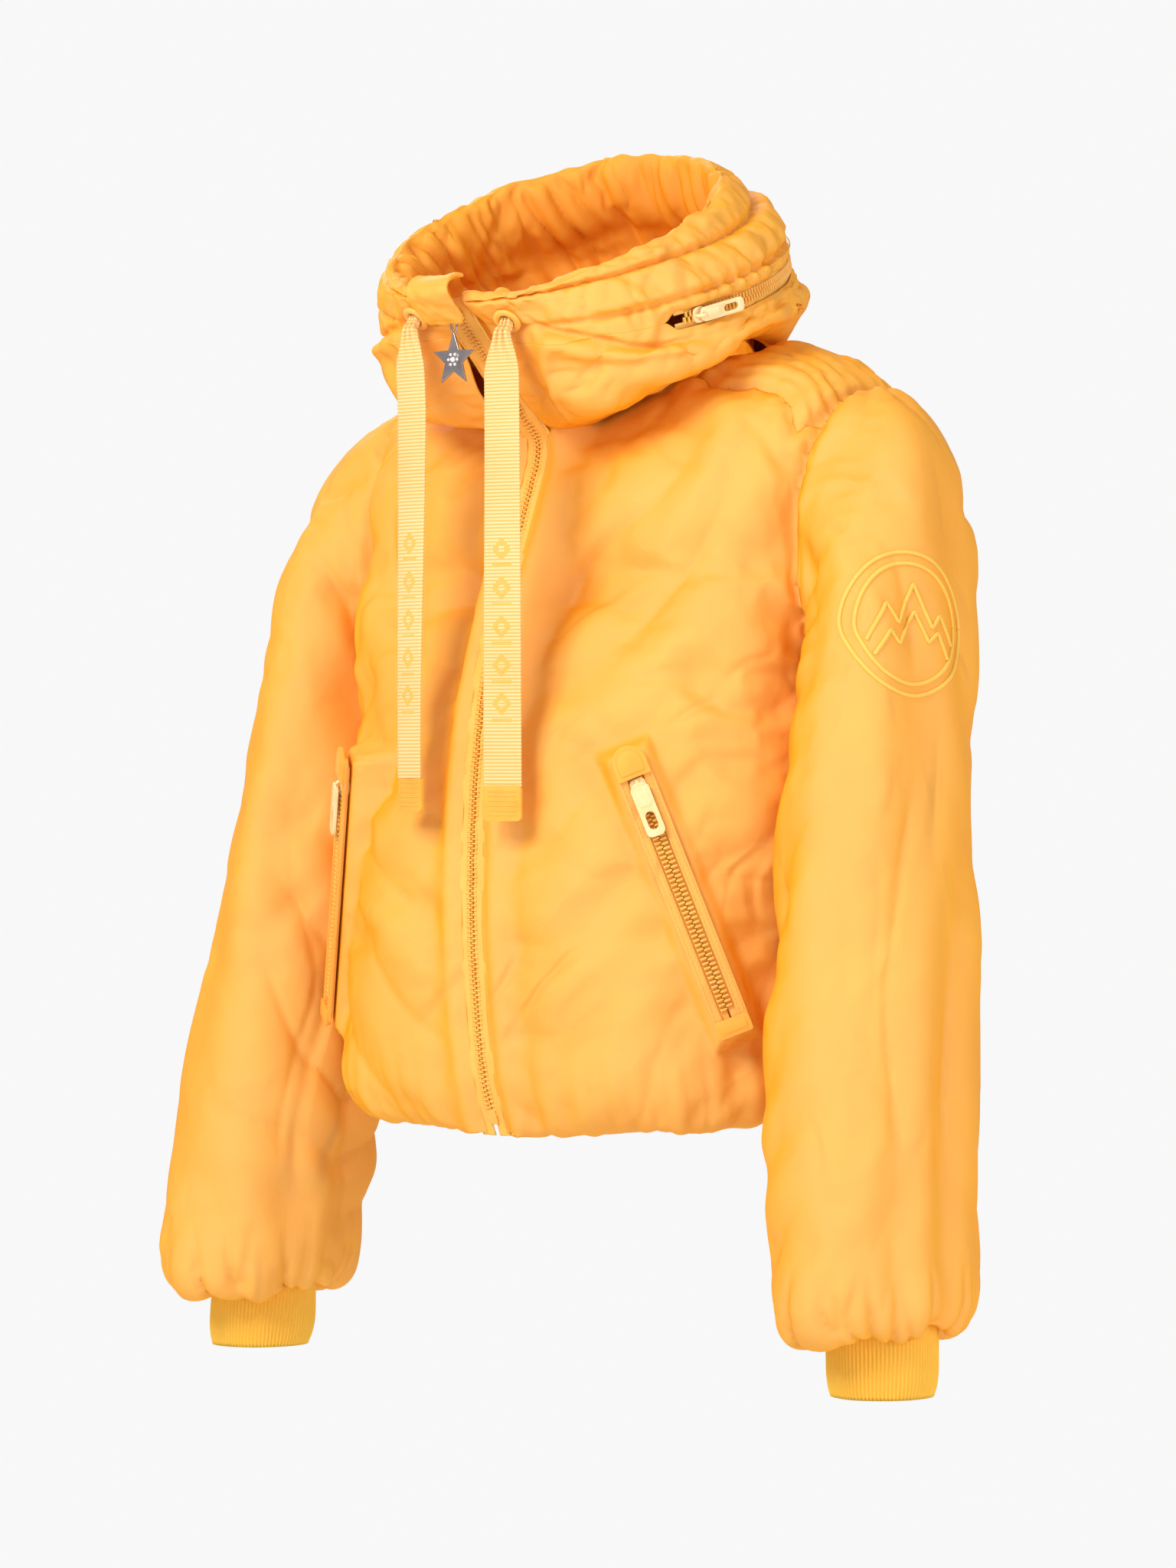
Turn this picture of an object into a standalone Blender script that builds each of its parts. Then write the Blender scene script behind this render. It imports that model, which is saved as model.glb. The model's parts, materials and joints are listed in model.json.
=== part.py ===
"""A cropped, padded ski jacket with a funnel collar, modelled as it is sewn: shell panels, padding,
lining, rib cuffs, four zips with sliders and pullers, and a ribbon drawcord.

Units are metres, +Z is up, the front faces -Y and the wearer's left is +X. The dimensions below are
measured from the centre of the hem opening, and the finished jacket is then moved to stand with its
hanging point at the origin. Angles round the body start at the front centre and grow towards the
wearer's left.
"""

import math

import bmesh
import bpy
from mathutils import Matrix, Vector

# ---------------------------------------------------------------- driving dimensions

BODY_LENGTH = 0.510  # hem to the shoulder edge of the neck
SQUARENESS = 3.0  # exponent of the torso's superellipse sections
TORSO = (  # height, half width, half depth, centre y
    (0.000, 0.176, 0.122, -0.012),
    (0.014, 0.185, 0.134, -0.012),
    (0.050, 0.187, 0.144, -0.012),
    (0.120, 0.185, 0.151, -0.012),
    (0.200, 0.184, 0.150, -0.012),
    (0.280, 0.186, 0.141, -0.010),
    (0.340, 0.190, 0.127, -0.006),
    (0.390, 0.195, 0.111, -0.001),
    (0.440, 0.198, 0.098, 0.005),
    (0.460, 0.196, 0.089, 0.009),
    (0.476, 0.187, 0.081, 0.011),
    (0.488, 0.170, 0.076, 0.012),
    (0.498, 0.146, 0.072, 0.012),
    (0.505, 0.122, 0.070, 0.012),
    (0.510, 0.105, 0.068, 0.012),
)
PANEL_LEVELS = (
    (0.0, 0.014, 0.042, 0.09, 0.18, 0.268, 0.285, 0.31)
    + (0.36, 0.41, 0.452, 0.462, 0.478, 0.49, 0.5, 0.51)
)
NECK_DIP = 0.072  # how far the neck edge drops at the front
ARM_LOW = 0.270  # armpit
ARM_MID = 0.360
ARM_TOP = 0.456
ARM_HALF_ANGLE = 26.0
SEAM_GAP_DEG = 0.25

SHELL_THICK = 0.0012
PADDING_INSET = 0.0030
PADDING_THICK = 0.0058
BAG_INSET = 0.0126
BAG_THICK = 0.0012
LINING_INSET = 0.0185
LINING_THICK = 0.0010
SLEEVE_LINING_INSET = 0.0122
HEM_HEIGHT = 0.034
HEM_BAND_FROM, HEM_BAND_INSET, HEM_BAND_THICK = 0.006, 0.005, 0.0024
BAG_ANGLES = (24.0, 70.0)
BAG_FROM, BAG_HEIGHT = 0.060, 0.165

SLEEVE = (  # step, inner x, inner z, outer x, outer z, centre y, half depth
    (0, 0.1915, 0.274, 0.2010, 0.463, 0.000, 0.066),
    (1, 0.1935, 0.266, 0.2190, 0.458, -0.002, 0.070),
    (2, 0.1940, 0.258, 0.2390, 0.436, -0.006, 0.073),
    (3, 0.1940, 0.248, 0.2475, 0.398, -0.014, 0.076),
    (4, 0.1940, 0.230, 0.2540, 0.345, -0.024, 0.078),
    (5, 0.1935, 0.203, 0.2620, 0.285, -0.034, 0.080),
    (6, 0.1925, 0.162, 0.2720, 0.208, -0.045, 0.081),
    (7, 0.1930, 0.108, 0.2840, 0.128, -0.054, 0.082),
    (8, 0.1960, 0.045, 0.2955, 0.055, -0.063, 0.082),
    (9, 0.2025, -0.020, 0.3030, -0.016, -0.071, 0.079),
    (10, 0.2080, -0.072, 0.3085, -0.070, -0.0765, 0.074),
    (11, 0.2150, -0.103, 0.3040, -0.102, -0.0775, 0.064),
    (12, 0.2225, -0.116, 0.2985, -0.116, -0.0780, 0.047),
)
SLEEVE_PIVOT = Vector((0.198, 0.000, 0.463))
CUFF_RADIUS = (0.0325, 0.0345)
CUFF_TOP, CUFF_BOTTOM = -0.098, -0.160
CUFF_CENTRE = (0.2600, -0.0770)
CUFF_LEAN = (0.003, -0.003)
CUFF_THICK = 0.0026

COLLAR = (  # step, centre y, centre z, side radius, front radius, slope in y, slope in x, side lift, front pinch
    (0, -0.0060, 0.4780, 0.099, 0.084, 0.421, 0.00, 0.0360, 0.000),
    (1, -0.0300, 0.4860, 0.131, 0.108, 0.400, -0.01, 0.0260, 0.030),
    (2, -0.0400, 0.5040, 0.138, 0.119, 0.370, -0.04, 0.0120, 0.028),
    (3, -0.0474, 0.5253, 0.1335, 0.1262, 0.345, -0.07, 0.0, 0.023),
    (4, -0.0556, 0.5487, 0.1335, 0.1262, 0.345, -0.07, 0.0, 0.013),
    (5, -0.0620, 0.5620, 0.128, 0.124, 0.390, -0.08, 0.0, 0.003),
    (6, -0.0730, 0.5770, 0.119, 0.119, 0.465, -0.10, 0.0, 0.000),
    (7, -0.0740, 0.5795, 0.112, 0.112, 0.465, -0.10, 0.0, 0.000),
    (8, -0.0660, 0.5580, 0.105, 0.104, 0.420, -0.09, 0.0, 0.000),
    (9, -0.0440, 0.5330, 0.100, 0.096, 0.380, -0.06, 0.0, 0.000),
    (10, -0.0060, 0.4840, 0.086, 0.071, 0.421, 0.00, 0.0330, 0.000),
)
COLLAR_THICK = 0.0024
PINCH_WIDTH_DEG = 24.0
COLLAR_COLUMNS = 24
ZIP_STEP = 3.5  # the collar zip parts the lower wall from the upper wall here
RIM_STEP, LINING_STEP = 6.36, 6.68
HOOD_STEPS, HOOD_INSET, HOOD_THICK = (2.7, 4.9), 0.0085, 0.009

ZIP_GAP_HALF = 0.0145  # from the centre line to the edge of each front panel
ZIP_LINE = (  # y and z of the front zip, from the hem to the collar
    (-0.1340, 0.004),
    (-0.1510, 0.030),
    (-0.1580, 0.070),
    (-0.1630, 0.130),
    (-0.1615, 0.200),
    (-0.1530, 0.270),
    (-0.1370, 0.330),
    (-0.1150, 0.385),
    (-0.1020, 0.418),
    (-0.0985, 0.430),
    (-0.0995, 0.440),
    (-0.1080, 0.449),
    (-0.1860, 0.5245),
)
CHAIN_INNER, CHAIN_OUTER, CHAIN_THICK = 0.0008, 0.0033, 0.0024
TAPE_INNER, TAPE_OUTER, TAPE_THICK = 0.0037, 0.0130, 0.0008
SLIDER_BELOW_TOP = 0.0120
FLAP_SIZE = (0.034, 0.021)
FLAP_LIFT = 0.0095

COLLAR_ZIP_CENTRE = Vector((0.0, -0.0515, 0.5370))
COLLAR_ZIP_AXIS = Vector((0.07, -0.345, 1.0)).normalized()
COLLAR_ZIP_RADIUS = 0.1335
COLLAR_ZIP_START_DEG = 66.0  # the zip runs from here, on the left, round the back to the right

POCKET_ENDS = ((28.0, 0.239), (59.5, 0.060))  # angle and height of the zip's two ends
WELT_CLEARANCE = 0.0004  # round the welt, where the panel is cut away for it
WELT_SIZE = (0.024, 0.188)
WELT_WINDOW = (0.014, 0.168)
POCKET_CHAIN = 0.156
POCKET_CHAIN_DEPTH = -0.0024
SLIDER_LENGTH = 0.0100
POCKET_PULL_LENGTH = 0.034

EYELET_ANGLE = 17.0
EYELET_STEP = 4.35
EYELET_HOLE = 0.0058
EYELET_PROFILE = (  # radius and height of the turned ring: a barrel through the cloth and a flange on it
    (0.0046, -0.0042),
    (0.0054, -0.0042),
    (0.0054, 0.0020),
    (0.0085, 0.0020),
    (0.0085, 0.0032),
    (0.0046, 0.0032),
)
RIBBON_WIDTH, RIBBON_THICK = 0.026, 0.0012
RIBBON_LENGTH = 0.293
RIBBON_TOP_WIDTH = 0.0070  # where it is gathered into the eyelet
STAR_RADIUS = 0.0165

LOOP_CENTRE = Vector((0.0, 0.0500, 0.506))
LOOP_SIZE, LOOP_HOLE, LOOP_THICK = (0.066, 0.018), (0.054, 0.010), 0.0026
HANGING_POINT = LOOP_CENTRE + Vector((0.0, 0.0, LOOP_HOLE[1] / 2))

COLOURS = {  # base colour, roughness, metallic
    "shell": ((0.95, 0.42, 0.05), 0.45, 0.0),
    "padding": ((0.93, 0.92, 0.90), 0.9, 0.0),
    "lining": ((0.93, 0.40, 0.05), 0.5, 0.0),
    "rib": ((0.93, 0.40, 0.06), 0.8, 0.0),
    "zip_tape": ((0.95, 0.50, 0.12), 0.7, 0.0),
    "zip_teeth": ((0.95, 0.55, 0.16), 0.4, 0.0),
    "zip_pull": ((0.93, 0.72, 0.38), 0.3, 0.0),
    "ribbon": ((0.95, 0.70, 0.30), 0.7, 0.0),
    "trim": ((0.93, 0.45, 0.10), 0.4, 0.0),
    "star_metal": ((0.42, 0.37, 0.40), 0.25, 1.0),
    "stone": ((0.85, 0.87, 0.90), 0.1, 0.0),
}

for old in list(bpy.data.objects):
    bpy.data.objects.remove(old)
JACKET = bpy.data.collections.new("padded_jacket")
CUTTERS = bpy.data.collections.new("cutters")
bpy.context.scene.collection.children.link(JACKET)
bpy.context.scene.collection.children.link(CUTTERS)
MATERIALS = {}


# ---------------------------------------------------------------- helpers


def material(name):
    if name not in MATERIALS:
        colour, roughness, metallic = COLOURS[name]
        made = bpy.data.materials.new(name)
        made.use_nodes = True
        shader = made.node_tree.nodes["Principled BSDF"]
        shader.inputs["Base Color"].default_value = (*colour, 1.0)
        shader.inputs["Roughness"].default_value = roughness
        shader.inputs["Metallic"].default_value = metallic
        MATERIALS[name] = made
    return MATERIALS[name]


def new_object(name, mesh, finish):
    made = bpy.data.objects.new(name, mesh)
    JACKET.objects.link(made)
    made.data.materials.append(material(finish))
    return made


def between(table, at):
    """The row of a table at a value of its first column, on a smooth curve through the rows."""
    keys = [row[0] for row in table]
    at = min(max(at, keys[0]), keys[-1])
    i = max(j for j in range(len(keys) - 1) if keys[j] <= at)
    span = keys[i + 1] - keys[i]
    t = (at - keys[i]) / span

    def slope(j, column):
        low, high = max(j - 1, 0), min(j + 1, len(keys) - 1)
        return (table[high][column] - table[low][column]) / (keys[high] - keys[low])

    found = []
    for column in range(1, len(table[0])):
        p0, p1 = table[i][column], table[i + 1][column]
        m0, m1 = slope(i, column) * span, slope(i + 1, column) * span
        found.append(
            (2 * t**3 - 3 * t**2 + 1) * p0
            + (t**3 - 2 * t**2 + t) * m0
            + (3 * t**2 - 2 * t**3) * p1
            + (t**3 - t**2) * m1
        )
    return found


def ease(low, high, at):
    """0 below low, 1 above high, and a smooth rise between them."""
    t = min(max((at - low) / (high - low), 0.0), 1.0)
    return t * t * (3 - 2 * t)


def inset_from(surface, inset, step=1e-3):
    """The surface moved inwards along its own normal."""
    if not inset:
        return surface

    def moved(u, v):
        across = surface(u + step, v) - surface(u - step, v)
        along = surface(u, min(v + step, 1.0)) - surface(u, max(v - step, 0.0))
        return surface(u, v) - across.cross(along).normalized() * inset

    return moved


def sheet(name, finish, surface, columns, rows, thickness, wrap=False, centred=False):
    """A piece cut from a surface(u, v), with u and v from 0 to 1: a grid bent to it, then thickened inwards.
    rows is a count, or the list of v values."""
    levels = [i / rows for i in range(rows + 1)] if isinstance(rows, int) else rows
    bm = bmesh.new()
    bmesh.ops.create_grid(bm, x_segments=columns, y_segments=len(levels) - 1, size=0.5)
    for vert in bm.verts:
        level = round((vert.co.y + 0.5) * (len(levels) - 1))
        vert.co = surface(vert.co.x + 0.5, levels[level])
    if wrap:
        bmesh.ops.remove_doubles(bm, verts=bm.verts, dist=1e-6)
    bmesh.ops.triangulate(bm, faces=bm.faces[:], quad_method="FIXED")
    mesh = bpy.data.meshes.new(name)
    bm.to_mesh(mesh)
    bm.free()
    made = new_object(name, mesh, finish)
    solid = made.modifiers.new("thickness", "SOLIDIFY")
    solid.thickness = thickness
    solid.offset = 0.0 if centred else -1.0
    made.data.shade_smooth()
    return made


def frame_at(origin, up, normal):
    """A matrix whose Z is the normal and whose Y is the up direction, for pieces set on a surface."""
    z = normal.normalized()
    y = (up - z * up.dot(z)).normalized()
    return Matrix.Translation(origin) @ Matrix((y.cross(z), y, z)).transposed().to_4x4()


def plate(name, finish, outline, thickness, matrix, z=0.0, hole=None):
    """A flat piece from an outline in the matrix's XY plane, its middle at height z."""
    bm = bmesh.new()
    for loop in (outline, hole) if hole else (outline,):
        verts = [bm.verts.new((px, py, z - thickness / 2)) for px, py in loop]
        for i, vert in enumerate(verts):
            bm.edges.new((verts[i - 1], vert))
    bmesh.ops.triangle_fill(bm, use_beauty=True, edges=bm.edges[:])
    lifted = bmesh.ops.extrude_face_region(bm, geom=bm.faces[:])["geom"]
    raised = [item for item in lifted if isinstance(item, bmesh.types.BMVert)]
    bmesh.ops.translate(bm, vec=(0, 0, thickness), verts=raised)
    bmesh.ops.recalc_face_normals(bm, faces=bm.faces[:])
    mesh = bpy.data.meshes.new(name)
    bm.to_mesh(mesh)
    bm.free()
    made = new_object(name, mesh, finish)
    made.matrix_world = matrix
    return made


def rounded(width, length, radius, steps=3, centre=(0.0, 0.0)):
    """Outline of a rectangle with round corners, anticlockwise."""
    points = []
    for cx, cy, start in ((1, 1, 0), (-1, 1, 90), (-1, -1, 180), (1, -1, 270)):
        for i in range(steps + 1):
            a = math.radians(start + 90 * i / steps)
            x = centre[0] + cx * (width / 2 - radius) + radius * math.cos(a)
            y = centre[1] + cy * (length / 2 - radius) + radius * math.sin(a)
            points.append((x, y))
    return points


def rectangle(width, length, centre=(0.0, 0.0)):
    x, y = width / 2, length / 2
    return [(centre[0] + px, centre[1] + py) for px, py in ((x, y), (-x, y), (-x, -y), (x, -y))]


def turned(name, finish, profile, matrix, steps=16):
    """A ring turned about the matrix's Z axis from a closed profile of (radius, height)."""
    mesh = bpy.data.meshes.new(name)
    bm = bmesh.new()
    verts = [bm.verts.new((radius, 0, height)) for radius, height in profile]
    for i, vert in enumerate(verts):
        bm.edges.new((verts[i - 1], vert))
    bm.to_mesh(mesh)
    bm.free()
    made = new_object(name, mesh, finish)
    made.matrix_world = matrix
    screw = made.modifiers.new("turn", "SCREW")
    screw.steps = screw.render_steps = steps
    screw.use_merge_vertices = True
    screw.merge_threshold = 1e-5
    screw.use_normal_flip = True
    return made


def cutter(name, bm, matrix):
    mesh = bpy.data.meshes.new(name)
    bm.to_mesh(mesh)
    bm.free()
    made = bpy.data.objects.new(name, mesh)
    JACKET.objects.link(made)
    made.matrix_world = matrix
    return made


def box(name, size, matrix):
    bm = bmesh.new()
    bmesh.ops.create_cube(bm, size=1.0)
    bmesh.ops.scale(bm, vec=size, verts=bm.verts)
    return cutter(name, bm, matrix)


def disc(name, radius, height, matrix):
    bm = bmesh.new()
    bmesh.ops.create_cone(bm, cap_ends=True, segments=16, radius1=radius, radius2=radius, depth=height)
    return cutter(name, bm, matrix)


def to_cutters(obj):
    JACKET.objects.unlink(obj)
    CUTTERS.objects.link(obj)
    obj.hide_render = True
    obj.display_type = "WIRE"
    return obj


def boolean(target, other, operation):
    modifier = target.modifiers.new(operation.lower() + "_" + other.name, "BOOLEAN")
    modifier.operation = operation
    modifier.object = other
    if other.name not in CUTTERS.objects:
        to_cutters(other)


# ---------------------------------------------------------------- torso


def torso_point(angle, height):
    half_width, half_depth, centre = between(TORSO, height)
    power = 2 / SQUARENESS
    s, c = math.sin(math.radians(angle)), math.cos(math.radians(angle))
    x = math.copysign(abs(s) ** power, s) * half_width
    y = centre - math.copysign(abs(c) ** power, c) * half_depth
    return Vector((x, y, height))


def neck_height(angle):
    return BODY_LENGTH - NECK_DIP * max(0.0, math.cos(math.radians(angle))) ** 2


def zip_edge_angle(height):
    half_width = between(TORSO, height)[0]
    return math.degrees(math.asin((ZIP_GAP_HALF / half_width) ** (SQUARENESS / 2)))


def arm_half_angle(height, to_shoulder_seam):
    """How far the armhole's edge stands from the side seam. Above the armhole, a shell panel stops at the
    shoulder yoke and a padding panel runs up to the shoulder seam."""
    if height <= ARM_LOW:
        return 0.0
    if to_shoulder_seam and height > ARM_TOP:
        return 0.0
    drop = max(0.0, (ARM_MID - height) / (ARM_MID - ARM_LOW))
    return ARM_HALF_ANGLE * math.sqrt(1 - drop * drop)


def torso_panel(name, finish, side, columns, inset, thickness, to_shoulder_seam=False, levels=PANEL_LEVELS):
    """side is left, right or back."""

    def surface(u, v):
        height = v * BODY_LENGTH
        seam = 90 - arm_half_angle(height, to_shoulder_seam) - SEAM_GAP_DEG
        front = zip_edge_angle(height)
        if side == "left":
            low, high = front, seam
        elif side == "right":
            low, high = -seam, -front
        else:
            low, high = 180 - seam, 180 + seam
        angle = low + (high - low) * u
        return torso_point(angle, height * neck_height(angle) / BODY_LENGTH)

    rows = [level / BODY_LENGTH for level in levels]
    return sheet(name, finish, inset_from(surface, inset), columns, rows, thickness)


def yoke(name, side):
    """The ribbed strip over one shoulder, from the collar to the sleeve head."""
    levels = [level for level in PANEL_LEVELS if level > ARM_TOP]

    def surface(u, v):
        spread = ARM_HALF_ANGLE - 2 * SEAM_GAP_DEG
        angle = 90 + spread * (2 * u - 1) * side
        height = levels[0] + (levels[-1] - levels[0]) * v
        point = torso_point(angle, height * neck_height(angle) / BODY_LENGTH)
        return Vector((point.x * side, point.y, point.z))

    rows = [(level - levels[0]) / (levels[-1] - levels[0]) for level in levels]
    sheet(name, "shell", surface, 6, rows, SHELL_THICK)


def hem_band_surface(u, v):
    height = HEM_BAND_FROM + (HEM_HEIGHT - HEM_BAND_FROM) * v
    start = zip_edge_angle(height) + 1.0
    return torso_point(start + (360 - 2 * start) * u, height)


def bag_surface(side):
    def surface(u, v):
        low, high = BAG_ANGLES if side > 0 else (-BAG_ANGLES[1], -BAG_ANGLES[0])
        return torso_point(low + (high - low) * u, BAG_FROM + BAG_HEIGHT * v)

    return surface


def build_torso():
    for side in ("left", "right", "back"):
        columns = 10 if side == "back" else 6
        label = "back" if side == "back" else f"front_{side}"
        torso_panel(f"{label}_shell", "shell", side, columns, 0.0, SHELL_THICK)
        above_hem = [level for level in PANEL_LEVELS if level > HEM_HEIGHT]
        torso_panel(
            f"{label}_padding", "padding", side, columns, PADDING_INSET, PADDING_THICK, True, above_hem
        )
        torso_panel(f"{label}_lining", "lining", side, columns, LINING_INSET, LINING_THICK)
    yoke("yoke_left", 1)
    yoke("yoke_right", -1)

    sheet("hem_elastic", "rib", inset_from(hem_band_surface, HEM_BAND_INSET), 20, 1, HEM_BAND_THICK)
    for side, sign in (("left", 1), ("right", -1)):
        sheet(f"pocket_bag_{side}", "lining", inset_from(bag_surface(sign), BAG_INSET), 5, 4, BAG_THICK)


# ---------------------------------------------------------------- sleeves


def sleeve_surface(side, start, end):
    def surface(u, v):
        inner_x, inner_z, outer_x, outer_z, centre_y, depth = between(SLEEVE, start + (end - start) * v)
        turn = 2 * math.pi * (u if side > 0 else 1 - u)
        inner, outer = Vector((inner_x, centre_y, inner_z)), Vector((outer_x, centre_y, outer_z))
        point = (inner + outer) / 2 + (outer - inner) / 2 * math.cos(turn)
        point.y -= depth * math.sin(turn)
        point.x *= side
        return point

    return surface


def cuff_surface(side):
    def surface(u, v):
        turn = 2 * math.pi * (u if side > 0 else 1 - u)
        height = CUFF_TOP + (CUFF_BOTTOM - CUFF_TOP) * v
        lean = (height - CUFF_TOP) / (CUFF_BOTTOM - CUFF_TOP)
        x = CUFF_CENTRE[0] + CUFF_LEAN[0] * lean + CUFF_RADIUS[0] * math.cos(turn)
        y = CUFF_CENTRE[1] + CUFF_LEAN[1] * lean - CUFF_RADIUS[1] * math.sin(turn)
        return Vector((side * x, y, height))

    return surface


def build_sleeve(label, side):
    layers = (
        ("shell", "shell", 0.0, SHELL_THICK, 0.0, 12.0),
        ("padding", "padding", PADDING_INSET, PADDING_THICK, 0.2, 10.4),
        ("lining", "lining", SLEEVE_LINING_INSET, LINING_THICK, 0.2, 10.4),
    )
    for layer, finish, inset, thickness, start, end in layers:
        steps = [start] + list(range(1, math.ceil(end))) + [end]
        rows = [(step - start) / (end - start) for step in steps]
        surface = inset_from(sleeve_surface(side, start, end), inset)
        sheet(f"sleeve_{layer}_{label}", finish, surface, 12, rows, thickness, wrap=True)
    sheet(f"cuff_{label}", "rib", cuff_surface(side), 14, 2, CUFF_THICK, wrap=True)


# ---------------------------------------------------------------- collar


def collar_point(angle, step):
    centre_y, centre_z, side_r, front_r, slope_y, slope_x, lift, pinch = between(COLLAR, step)
    s, c = math.sin(math.radians(angle)), math.cos(math.radians(angle))
    pinched = pinch * math.exp(-((angle / PINCH_WIDTH_DEG) ** 2))
    x = side_r * s
    y = centre_y - (front_r - pinched) * c
    z = centre_z + slope_y * (y - centre_y) + slope_x * x + lift * s * s
    return Vector((x, y, z))


def collar_front_angle(step):
    return math.degrees(math.asin(0.0155 / between(COLLAR, step)[2]))


def zip_half_gap(angle):
    """Half the gap between lower and upper collar, in collar steps: open only where the collar zip runs."""
    start = COLLAR_ZIP_START_DEG
    return 0.02 + 0.21 * ease(start - 18, start - 6, abs(angle))


def below_zip(angle):
    return ZIP_STEP - zip_half_gap(angle)


def above_zip(angle):
    return ZIP_STEP + zip_half_gap(angle)


def collar_piece(name, finish, low, high, rows, thickness, inset=0.0, span=None):
    """Part of the collar wall between two steps, each a number or a function of the angle. It runs round
    the back from one edge of the front opening to the other, or over the span of angles given."""

    def surface(u, v):
        first, last = (0.0, ZIP_STEP) if callable(low) or callable(high) else (low, high)
        start = span or collar_front_angle(max(first + (last - first) * v, 0.0))
        angle = start + (360 - 2 * start) * u
        signed = angle if angle <= 180 else angle - 360
        lo = low(signed) if callable(low) else low
        hi = high(signed) if callable(high) else high
        return collar_point(signed, lo + (hi - lo) * v)

    return sheet(name, finish, inset_from(surface, inset), COLLAR_COLUMNS, rows, thickness)


def eyelet_frame(side):
    angle = side * EYELET_ANGLE
    point = collar_point(angle, EYELET_STEP)
    across = collar_point(angle + 1, EYELET_STEP) - collar_point(angle - 1, EYELET_STEP)
    up = collar_point(angle, EYELET_STEP + 0.1) - collar_point(angle, EYELET_STEP - 0.1)
    return frame_at(point, up, across.cross(up))


def build_collar():
    upper_rows = [0, 0.2, 0.4, 0.6, 0.8, 0.92, 1]
    lining_rows = [0, 0.06, 0.14, 0.25, 0.45, 0.7, 1]
    collar_piece("collar_lower", "shell", 0.0, below_zip, 6, COLLAR_THICK)
    upper = collar_piece("collar_upper", "shell", above_zip, RIM_STEP, upper_rows, COLLAR_THICK)
    collar_piece("collar_lining", "lining", LINING_STEP, 10.0, lining_rows, SHELL_THICK)
    low, high = HOOD_STEPS
    collar_piece("packed_hood", "padding", low, high, 3, HOOD_THICK, HOOD_INSET, COLLAR_ZIP_START_DEG)
    for side, label in ((1, "left"), (-1, "right")):
        frame = eyelet_frame(side)
        boolean(upper, disc("eyelet_cut_" + label, EYELET_HOLE, 0.02, frame), "DIFFERENCE")
        turned("eyelet_" + label, "trim", EYELET_PROFILE, frame)
        build_ribbon(label, frame.translation)


def build_ribbon(label, eyelet):
    """A ribbon end that hangs from the eyelet, narrow at the top, with a bonded tip."""
    pivot = eyelet + Vector((0, -0.0062, -0.001))

    def surface(u, v):
        drop = RIBBON_LENGTH * v
        width = RIBBON_TOP_WIDTH + (RIBBON_WIDTH - RIBBON_TOP_WIDTH) * ease(0.0, 0.045, drop)
        return Vector(((u - 0.5) * width, -0.0012 * math.sin(math.pi * min(drop / 0.05, 1.0)), -drop))

    made = sheet("drawcord_" + label, "ribbon", surface, 2, [0, 0.02, 0.05, 0.09, 0.14, 0.5, 1.0], RIBBON_THICK)
    made.location = pivot
    below = pivot - Vector((0, 0, RIBBON_LENGTH + 0.0113))
    at = frame_at(below, Vector((0, 0, 1)), Vector((0, -1, 0)))
    plate("drawcord_tip_" + label, "trim", rounded(RIBBON_WIDTH - 0.001, 0.022, 0.003), 0.0022, at)


# ---------------------------------------------------------------- zips


def slider(name, finish, frame, depth, arch_top):
    """A zip slider: two plates joined by the divider that runs between the two rows of teeth, with an
    arch on the front. The frame's origin is the middle of the slider on the surface."""
    half_blade, half_width = CHAIN_INNER - 0.0003, 0.0048
    inner = CHAIN_THICK / 2 + 0.0003
    outer = inner + 0.0009
    right = [(half_width, -outer), (half_width, -inner), (half_blade, -inner)]
    right += [(half_blade, inner), (half_width, inner), (half_width, outer)]
    left = [(-x, z) for x, z in reversed(right)]
    section = frame @ Matrix.Translation((0, 0, depth)) @ Matrix.Rotation(math.radians(90), 4, "X")
    body = plate(name, finish, right + left, SLIDER_LENGTH, section)
    base = depth + outer - 0.0002
    height = arch_top - base
    sideways = frame @ Matrix.Translation((0, 0, base)) @ Matrix.Rotation(math.radians(90), 4, "Y")
    arch = plate(
        name + "_arch",
        finish,
        rectangle(height + 0.0004, 0.0074, (-height / 2, 0)),
        0.0016,
        sideways,
        hole=rectangle(0.0026, 0.0044, (-height + 0.0023, 0)),
    )
    boolean(body, arch, "UNION")
    return body


def puller(name, finish, frame, outline_below, thickness, window_width=0.0032):
    """A puller hanging from the bar in the slider's arch. The frame's origin is the middle of the bar."""
    window = rectangle(window_width, 0.0056, (0, -0.0034))
    return plate(name, finish, outline_below, thickness, frame, hole=window)


def strip_along(name, finish, path, inner, outer, thickness, rows, side=1):
    """A strip that runs beside a line: path(v) gives a point and the direction across it."""

    def surface(u, v):
        point, across = path(v)
        offset = inner + (outer - inner) * (u if side > 0 else 1 - u)
        return point + across * side * offset

    return sheet(name, finish, surface, 1, rows, thickness, centred=True)


def zip_lengths():
    points = [Vector((0, y, z)) for y, z in ZIP_LINE]
    total = [0.0]
    for i in range(1, len(points)):
        total.append(total[-1] + (points[i] - points[i - 1]).length)
    return points, total


def front_zip_path(low, high):
    points, total = zip_lengths()

    def path(v):
        at = low + (total[-1] - high - low) * v
        i = max(j for j in range(len(total) - 1) if total[j] <= at)
        t = (at - total[i]) / (total[i + 1] - total[i])
        return points[i].lerp(points[i + 1], t), Vector((1, 0, 0))

    rows = [0.0] + [(s - low) / (total[-1] - high - low) for s in total[1:-1]] + [1.0]
    return path, rows


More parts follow.
